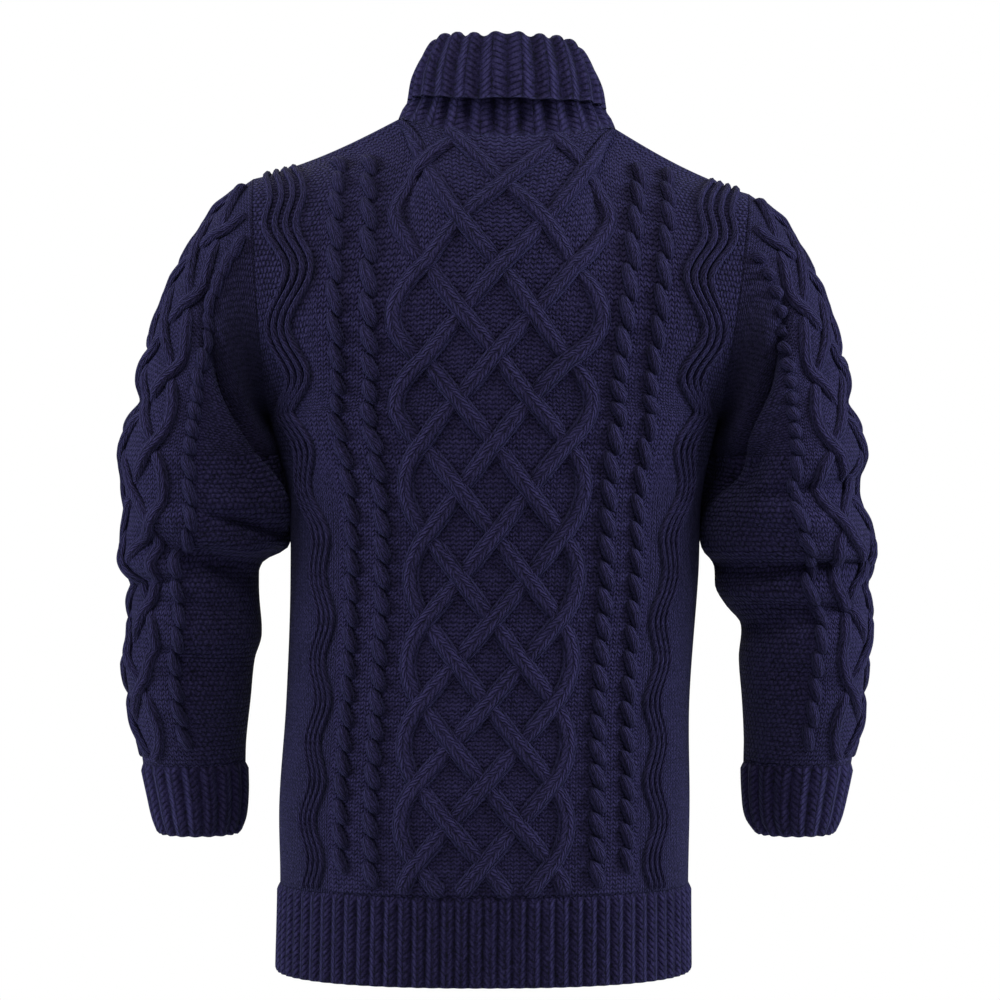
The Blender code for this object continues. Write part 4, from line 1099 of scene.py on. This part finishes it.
def sleeve_point(side, turn, reach):
    """reach runs 0 to 1 from the armhole round to a level ring, then 1 to 2 to the cuff."""
    if reach >= 1:
        return arm_ring(side, turn, ARM_TOP_Z + (CUFF_TOP_Z - ARM_TOP_Z) * (reach - 1))
    start, end = armhole(side, turn), arm_ring(side, turn, ARM_TOP_Z)
    length = np.linalg.norm(end - start)
    outside = (1 - math.cos(2 * math.pi * turn)) / 2
    droop, leave, arrive, slant = (
        SLEEVE_DROOP[name][0] + (SLEEVE_DROOP[name][1] - SLEEVE_DROOP[name][0]) * outside
        for name in ("droop", "leave", "arrive", "slant")
    )
    first = start + unit([side, 0, -droop]) * length * leave
    second = end + unit([-side * slant, 0, 1]) * length * arrive
    t = reach
    return (
        (1 - t) ** 3 * start
        + 3 * (1 - t) ** 2 * t * first
        + 3 * (1 - t) * t**2 * second
        + t**3 * end
    )


def folds(side, turns, heights):
    """The folds of a sleeve, as how far each point stands out of the plain tube."""
    total = np.zeros(np.broadcast(turns, heights).shape)
    for turn, z, lean, reach, width, depth in zip(*CREASES[side].values()):
        off = turns - turn
        off_line = (heights - (z + lean * off)) / width
        total -= depth * np.exp(-((off / reach) ** 2)) * np.exp(-(off_line**2))
    return total


fine = np.linspace(SLEEVE_CORD_START, SLEEVE_CORD_END, 380)
fine_counts = SLEEVE_FIRST_COUNT + SLEEVE_COUNTS * fine / 2
half_girths = read_all(SLEEVE_HALF_GIRTH, "girth", fine)
turned_back = read_all(SLEEVE_TURNED, "back", fine)


def sleeve_turn(place, reach):
    """Where a place across the sleeve's pattern comes to lie round the tube."""
    turned = np.interp(reach, fine, turned_back)
    return 0.5 - (place + turned) / np.interp(reach, fine, half_girths) / 2


form_turns, form_reaches = np.linspace(0, 1, 97), np.linspace(0, 2, 121)
fade = np.minimum(form_reaches / SLEEVE_TOP_FADE, (2 - form_reaches) / SLEEVE_END_FADE)
turns, reaches = np.linspace(0, 1, 121), np.linspace(0, 2, 125)
across = (0.5 - turns[:, None]) * 2 * read_all(SLEEVE_HALF_GIRTH, "girth", reaches)
across = across - read_all(SLEEVE_TURNED, "back", reaches)
stitch_rows = (SLEEVE_FIRST_COUNT + SLEEVE_COUNTS * reaches / 2) * SLEEVE_ROWS
moss = np.clip((np.abs(across) - SLEEVE_MOSS_REACH) / KNIT_FADE, 0, 1)
for side, name in ((1, "sleeve_left"), (-1, "sleeve_right")):
    cloth = Cloth(
        lambda turn, reach: sleeve_point(side, turn, reach), form_turns, form_reaches,
        facing=side, tube=True,
    )
    places = form_turns[:, None], form_reaches
    net, normal = cloth.at(*places), cloth.normal(*places)
    stand = folds(side, form_turns[:, None], net[..., 2]) * np.clip(fade, 0, 1)
    net = net + normal * stand[..., None]
    net[:, 0, 0] += side * SEAM
    cloth.fill(net)
    sleeve = knit_shell(
        name, ground_wool, cloth, turns, reaches,
        (across / STITCH_WIDTH * SLEEVE_STITCH_SPREAD, stitch_rows),
        zones=np.stack([moss, 0 * moss, 0 * moss], -1),
    )

    strands, ropes = Knitting(), Knitting()
    for k in range(SLEEVE_STRANDS):
        place = strand_path(k, fine_counts, SLEEVE_STEP, SLEEVE_STRANDS)
        lift = over_under(place, fine_counts)
        turn = sleeve_turn(place, fine)
        lay_cord(strands, cloth, turn, fine, SLEEVE_STRAND_HALF, STRAND_RISE, lift, 2)
    for hand in (1, -1):
        for start in np.arange(fine_counts[0], fine_counts[-1] - ROPE_LENGTH, ROPE_REPEAT):
            at, lean, lift, full = rope_lobe(start)
            place = hand * SLEEVE_ROPE_MIDDLE + lean * side * SLEEVE_ROPE_SWING
            reach = (at - SLEEVE_FIRST_COUNT) / SLEEVE_COUNTS * 2
            path = sleeve_turn(place, reach), reach, SLEEVE_ROPE_HALF * full
            lay_cord(ropes, cloth, *path, SLEEVE_ROPE_RISE, lift, 2, 8)
    sleeve_pieces = [
        strands.make(name + "_lattice", cable_wool),
        ropes.make(name + "_ropes", cable_wool),
    ]
    stand_for(name, sleeve, sleeve_pieces)

# =============================================================================
# The cuffs: single rib knitted before each sleeve, so that they are one with it.
# They narrow the sleeve to the wrist.
# =============================================================================
CUFF_RIBS = 18
cuff_top = CUFF_TOP_Z - SEAM
turns = np.linspace(0, 1, CUFF_RIBS * POINTS_PER_RIB + 1)
heights = np.linspace(CUFF_END_Z, cuff_top, 22)
phase = turns[:, None] * CUFF_RIBS
for side, name, sleeve_name in (
    (1, "cuff_left", "sleeve_left"),
    (-1, "cuff_right", "sleeve_right"),
):
    cloth = Cloth(
        lambda turn, z: arm_ring(side, turn, z), np.linspace(0, 1, 61),
        np.linspace(CUFF_END_Z, cuff_top, 16), facing=-side, tube=True,
    )
    cuff = knit_shell(
        name, rib_wool, cloth, turns, heights, (phase, (heights - CUFF_END_Z) / RIB_ROW),
        RIB_RISE * rib_shape(phase) * ribbed_ends(heights, CUFF_END_Z, cuff_top),
    )
    stand_for(name, cuff)

# =============================================================================
# The shawl collar: one long band of deep rib, picked up along the neck and both
# V edges. It stands at the back of the neck, rolls over and falls outside.
# =============================================================================
COLLAR = table(
    "way roll_in roll_up edge_out edge_up radius",
    (0.00, 0.009, 0.081, 0.008, 0.032, 0.0055),
    (0.15, 0.020, 0.072, -0.001, 0.026, 0.0055),
    (0.30, 0.027, 0.048, -0.008, 0.014, 0.0058),
    (0.45, 0.019, 0.040, 0.012, 0.010, 0.0065),
    (0.65, 0.017, 0.026, 0.017, 0.007, 0.0062),
    (0.85, 0.015, 0.013, 0.014, 0.006, 0.0055),
    (1.00, 0.013, 0.005, 0.011, 0.006, 0.0045),
)
SHOULDER_WAY = 0.30
TURN_OVER_WAY = 0.35
FRONT_LEAN = 0.007
STAND_BOW = 0.001
FALL_BOW = 0.003
ROLL_WIDTH = 0.9
COLLAR_END_Z = -0.197
COLLAR_SEAM = 0.0005
COLLAR_RIBS = 42
COLLAR_RIB_RISE = 0.0036
COLLAR_RIB_ROUNDNESS = 0.8
COLLAR_RIB_FADE = 0.25
# how far the normal at the neck's seam leans out and up, and how it comes to that up the V
LEAN_OUT, LEAN_UP = 0.6, 0.8
LEAN_POWER = 1.5


def neck_normal(side, angle):
    """The normal that the collar shares with the back: angle 0 is behind, a quarter turn aside."""
    outward = np.array([side * math.sin(angle), math.cos(angle), 0])
    return unit(outward * LEAN_OUT + np.array([0, 0, LEAN_UP]))


def neckline_normal(side, share):
    """The normal that the collar shares with a front along the V."""
    low, corner = unit([0, -1, 0.1]), unit([LEAN_OUT * side, 0, LEAN_UP])
    return unit(low + (corner - low) * max(share, 0) ** LEAN_POWER)


def collar_seam(way):
    """The collar's seam line: a point, and the normal that it shares with the panels."""
    side = -1 if way < 0 else 1
    size = abs(way)
    if size <= SHOULDER_WAY:
        share = size / SHOULDER_WAY
        neck_length = share * NECK_HALF_WIDTH
        normal = neck_normal(side, math.pi / 2 * share)
        return back_top(side, neck_length / TOP_REACH), normal
    low = (COLLAR_END_Z - UNDERARM_Z) / (NECK_TOP_Z - UNDERARM_Z)
    share = 1 - (size - SHOULDER_WAY) / (1 - SHOULDER_WAY) * (1 - low)
    return neckline(side, share), neckline_normal(side, share)


def collar_point(way, station):
    """The folded sheet at one place: seam, stand, roll, fall and free edge, 0 to 6."""
    side = -1 if way < 0 else 1
    size = abs(way)
    seam, normal = collar_seam(way)
    ahead, behind = collar_seam(min(way + 0.01, 1))[0], collar_seam(max(way - 0.01, -1))[0]
    clear = unit(np.cross(normal, ahead - behind))
    seam = seam + COLLAR_SEAM * (clear if clear[2] > 0 else -clear)
    turn = math.pi / 2 * min(size / SHOULDER_WAY, 1)
    to_neck = -np.array([side * math.sin(turn), math.cos(turn), 0])
    turn += math.pi / 2 * min(max((size - SHOULDER_WAY) / TURN_OVER_WAY, 0), 1)
    away = np.array([side * math.sin(turn), math.cos(turn), 0])
    up = np.array([0, 0, 1.0])
    radius = read(COLLAR, "radius", size)
    lean = max(size - SHOULDER_WAY, 0) / (1 - SHOULDER_WAY) * FRONT_LEAN
    roll = seam + to_neck * read(COLLAR, "roll_in", size) + up * read(COLLAR, "roll_up", size)
    roll = roll + away * lean
    edge = seam + away * read(COLLAR, "edge_out", size) + up * read(COLLAR, "edge_up", size)
    beside = away * radius * ROLL_WIDTH
    stand_top, fall_top = roll - beside, roll + beside
    points = [
        seam,
        (seam + stand_top) / 2 - away * STAND_BOW,
        stand_top,
        roll + unit(roll - seam) * radius,
        fall_top,
        (fall_top + edge) / 2 + away * FALL_BOW,
        edge,
    ]
    return points[station]


collar_cloth = Cloth(collar_point, np.linspace(-1, 1, 85), np.arange(7), facing=-1)
ways = np.linspace(-1, 1, COLLAR_RIBS * 9 + 1)[:, None]
stations = np.linspace(0, 6, 43)
middle, normal = collar_cloth.at(ways, stations), collar_cloth.normal(ways, stations)
lengths = np.cumsum(np.linalg.norm(np.diff(middle, axis=1), axis=-1), axis=1)
lengths = np.concatenate([np.zeros((len(ways), 1)), lengths], axis=1)
rib = np.cos(np.pi * (ways + 1) * COLLAR_RIBS)
rib = np.sign(rib) * np.abs(rib) ** COLLAR_RIB_ROUNDNESS
swell = np.clip(stations / COLLAR_RIB_FADE, 0, 1) * COLLAR_RIB_RISE / 2
collar_knit = Knitting()
outer = middle + normal * (WALL / 2 + swell * rib)[..., None]
inner = middle + normal * (-WALL / 2 + swell * rib)[..., None]
# each face's columns lie on its own crests: where one face rises the other sinks
places = np.stack(np.broadcast_arrays((ways + 1) * COLLAR_RIBS / 2, lengths / RIB_ROW), -1)
out_ids = collar_knit.grid(outer, places + (0.5, 0), flip=True)
in_ids = collar_knit.grid(inner, places)
collar_knit.rim(out_ids[:, 0], in_ids[:, 0], flip=True)
collar_knit.rim(out_ids[:, -1], in_ids[:, -1])
collar_knit.rim(out_ids[0], in_ids[0])
collar_knit.rim(out_ids[-1], in_ids[-1], flip=True)
collar = collar_knit.make("knit_collar", rib_wool)
stand_for("collar", collar)

# =============================================================================
# The front bands: two narrow strips of rib, picked up along the fronts below the
# collar. The left one laps over the right one and carries the buttonholes.
# =============================================================================
BAND_TOP_Z = -0.2005
BAND_RIBS = 41
BAND_RIB_RISE = 0.0012
BAND_LAP = 0.0046
BAND_NORMAL_STEP = 0.004


def band_point(lap, u, z):
    """A band lies on the front's form, or laps over by so much along the form's normal."""
    a = np.clip([u - BAND_NORMAL_STEP, u + BAND_NORMAL_STEP], -BAND_HALF_WIDTH, BAND_HALF_WIDTH)
    b = np.clip([z - BAND_NORMAL_STEP, z + BAND_NORMAL_STEP], HEM_END_Z, BAND_TOP_Z)
    across = ring(a[1], z, "front") - ring(a[0], z, "front")
    along = ring(u, b[1], "front") - ring(u, b[0], "front")
    return ring(u, z, "front") + unit(np.cross(across, along)) * lap


places = np.linspace(-BAND_HALF_WIDTH, BAND_HALF_WIDTH, 9)
heights = np.linspace(HEM_END_Z, BAND_TOP_Z, BAND_RIBS * 8 + 1)
phase = (heights - HEM_END_Z) / (BAND_TOP_Z - HEM_END_Z) * BAND_RIBS
for name, lap in (("band_right", 0.0), ("band_left", BAND_LAP)):
    cloth = Cloth(
        lambda u, z: band_point(lap, u, z), np.linspace(-BAND_HALF_WIDTH, BAND_HALF_WIDTH, 5),
        np.linspace(HEM_END_Z, BAND_TOP_Z, 42),
    )
    band = knit_shell(
        name, rib_wool, cloth, places, heights, (phase, places[:, None] / RIB_ROW),
        BAND_RIB_RISE * rib_shape(phase),
    )
    stand_for(name, band)

# =============================================================================
# The buttons: five plain dark horn discs with a turned rim, each sewn on through
# four holes with navy thread.
# =============================================================================
BUTTON_COUNT = 5
BUTTON_TOP_Z = -0.225
BUTTON_END_Z = -0.665
BUTTON_RADIUS = 0.0115
BUTTON_THICK = 0.0042
BUTTON_STEPS = 40
HOLE_OUT = 0.0020
# a disc's outline from the middle of its face round to the middle of its back
PROFILE = table(
    "out up",
    (0.00, 0.70), (0.30, 0.70), (0.60, 0.72), (0.68, 0.78), (0.75, 0.93), (0.82, 1.00),
    (0.89, 0.98), (0.95, 0.88), (0.99, 0.60), (1.00, 0.20), (0.99, 0.00), (0.00, 0.00),
)
SMALLEST_OUT = 0.002
THREAD_STEPS = 6
THREAD_WIDTH = 0.0005
THREAD_ARCH = 0.0008
THREAD_SUNK = 0.0004
HORN = (0.030, 0.022, 0.018)
DARK_HORN = (0.012, 0.009, 0.008)
THREAD_NAVY = (0.020, 0.019, 0.045)
horn, tree, shader = open_material("dark horn")
spot = add_node(tree, "TexCoord").outputs["Object"]
streaks = {"Vector": spot, "Scale": 180.0, "Detail": 3.0, "Distortion": 1.4}
grain = add_node(tree, "TexNoise", streaks).outputs["Fac"]
colour = shade(tree, grain, (0.35, DARK_HORN), (0.65, HORN))
set_inputs(shader, {"Base Color": colour, "Roughness": 0.32})
thread, tree, shader = open_material("navy thread")
set_inputs(shader, {"Base Color": (*THREAD_NAVY, 1), "Roughness": 0.7})


def ring_faces(rings, size, first=0):
    """Quads from each ring of points to the next one."""
    faces = []
    for start in range(first, first + (rings - 1) * size, size):
        for k in range(size):
            a, b = start + k, start + (k + 1) % size
            faces.append((a, a + size, b + size, b))
    return faces


def turned_disc():
    """The profile turned round the disc's axis, closed by a small face at both its ends."""
    points = []
    for out, up in zip(PROFILE["out"], PROFILE["up"]):
        radius = max(out, SMALLEST_OUT) * BUTTON_RADIUS
        for k in range(BUTTON_STEPS):
            angle = 2 * math.pi * k / BUTTON_STEPS
            points.append((radius * math.cos(angle), radius * math.sin(angle), up * BUTTON_THICK))
    last = len(points) - 1
    ends = [tuple(range(BUTTON_STEPS)), tuple(range(last, last - BUTTON_STEPS, -1))]
    return points, ring_faces(len(PROFILE["out"]), BUTTON_STEPS) + ends


def thread_loops():
    """Two square strands side by side, each arched over the dish between two holes."""
    points, faces = [], []
    half, top = THREAD_WIDTH, THREAD_WIDTH
    for hand in (1, -1):
        faces += ring_faces(THREAD_STEPS + 1, 4, len(points))
        for k in range(THREAD_STEPS + 1):
            t = k / THREAD_STEPS * 2 - 1
            lift = BUTTON_THICK * PROFILE["up"][0] + THREAD_ARCH * (1 - t**4)
            for x, up in ((half, 0), (half, top), (-half, top), (-half, 0)):
                points.append((hand * HOLE_OUT + x, t * HOLE_OUT, lift + up - THREAD_SUNK))
    return points, faces


button_lift = BAND_LAP + WALL / 2 + BAND_RIB_RISE + SEAM
for number in range(1, BUTTON_COUNT + 1):
    z = BUTTON_TOP_Z + (BUTTON_END_Z - BUTTON_TOP_Z) * (number - 1) / (BUTTON_COUNT - 1)
    slope_y = ring(0, z + 0.01, "front")[1] - ring(0, z - 0.01, "front")[1]
    button = add_piece(f"turned_button_{number}", *turned_disc(), horn)
    stitch = add_piece(f"button_thread_{number}", *thread_loops(), thread, smooth=False)
    for piece in (button, stitch):
        piece.location = ring(0, z, "front") - np.array([0, button_lift, 0])
        piece.rotation_euler = (math.pi / 2 - math.atan2(slope_y, 0.02), 0, 0)
    stand_for(f"button_{number}", button, [stitch])

# =============================================================================
# The studio: a plain white floor well below the hem, a white surround, a broad soft
# light high over the back, a wider one beyond the front, and two that graze the sides.
# =============================================================================
FLOOR_Z = -1.30
FLOOR_REACH = 1.3
FLOOR_WHITE = (0.85, 0.85, 0.86)
white_floor, tree, shader = open_material("white floor")
set_inputs(shader, {"Base Color": (*FLOOR_WHITE, 1), "Roughness": 0.9})
corners = ((-1, -1), (1, -1), (1, 1), (-1, 1))
floor_points = [(FLOOR_REACH * x, FLOOR_REACH * y, FLOOR_Z) for x, y in corners]
floor = add_piece("floor", floor_points, [(0, 1, 2, 3)], white_floor, smooth=False)

# the surround looks white and lights the cardigan more weakly
SURROUND_LIGHT = 0.30
SURROUND_SEEN = 1.0
WHITE = (1, 1, 1, 1)
world = bpy.data.worlds.new("white surround")
world.use_nodes = True
tree = world.node_tree
lighting = tree.nodes["Background"]
set_inputs(lighting, {"Color": WHITE, "Strength": SURROUND_LIGHT})
seen = add_node(tree, "Background", {"Color": WHITE, "Strength": SURROUND_SEEN})
ray = add_node(tree, "LightPath").outputs["Is Camera Ray"]
either = {"Fac": ray, 1: lighting.outputs["Background"], 2: seen.outputs["Background"]}
surround = add_node(tree, "MixShader", either).outputs["Shader"]
set_inputs(tree.nodes["World Output"], {"Surface": surround})
bpy.context.scene.world = world

LIGHTS = (
    ("key", (0.2, 1.3, 2.0), 0.8, 34.0, (1.0, 0.98, 0.97)),
    ("fill", (0.6, -2.4, 1.6), 1.4, 26.0, (1.0, 0.99, 0.98)),
    ("left_rim", (1.9, 0.4, 0.3), 0.9, 48.0, (0.76, 0.80, 1.0)),
    ("right_rim", (-1.9, 0.4, 0.3), 0.9, 62.0, (0.76, 0.80, 1.0)),
)
AIM = (0.0, 0.0, -0.32)
for name, place, size, power, colour in LIGHTS:
    lamp = bpy.data.lights.new(name, "AREA")
    lamp.size = size
    lamp.energy = power
    lamp.color = colour
    light = bpy.data.objects.new(name, lamp)
    light.location = place
    x, y, z = np.array(AIM) - np.array(place)
    turn, dip = math.atan2(y, x), math.atan2(-z, math.hypot(x, y))
    light.rotation_euler = (math.pi / 2 - dip, 0, turn - math.pi / 2)
    bpy.context.scene.collection.objects.link(light)

# =============================================================================
# The camera: level with the elbows and square to the back, as in the photo. It is
# far enough away that the near and the far edges of the hem look almost alike.
# =============================================================================
CAMERA_PLACE = (-0.0042, 2.7, -0.3066)
FRAME_WIDTH = 0.84
SENSOR = 36.0
camera_data = bpy.data.cameras.new("camera")
camera_data.sensor_width = SENSOR
camera_data.lens = SENSOR * CAMERA_PLACE[1] / FRAME_WIDTH
camera = bpy.data.objects.new("camera", camera_data)
camera.location = CAMERA_PLACE
camera.rotation_euler = (math.pi / 2, 0, math.pi)
bpy.context.scene.collection.objects.link(camera)
bpy.context.scene.camera = camera
bpy.context.scene.view_settings.view_transform = "Standard"
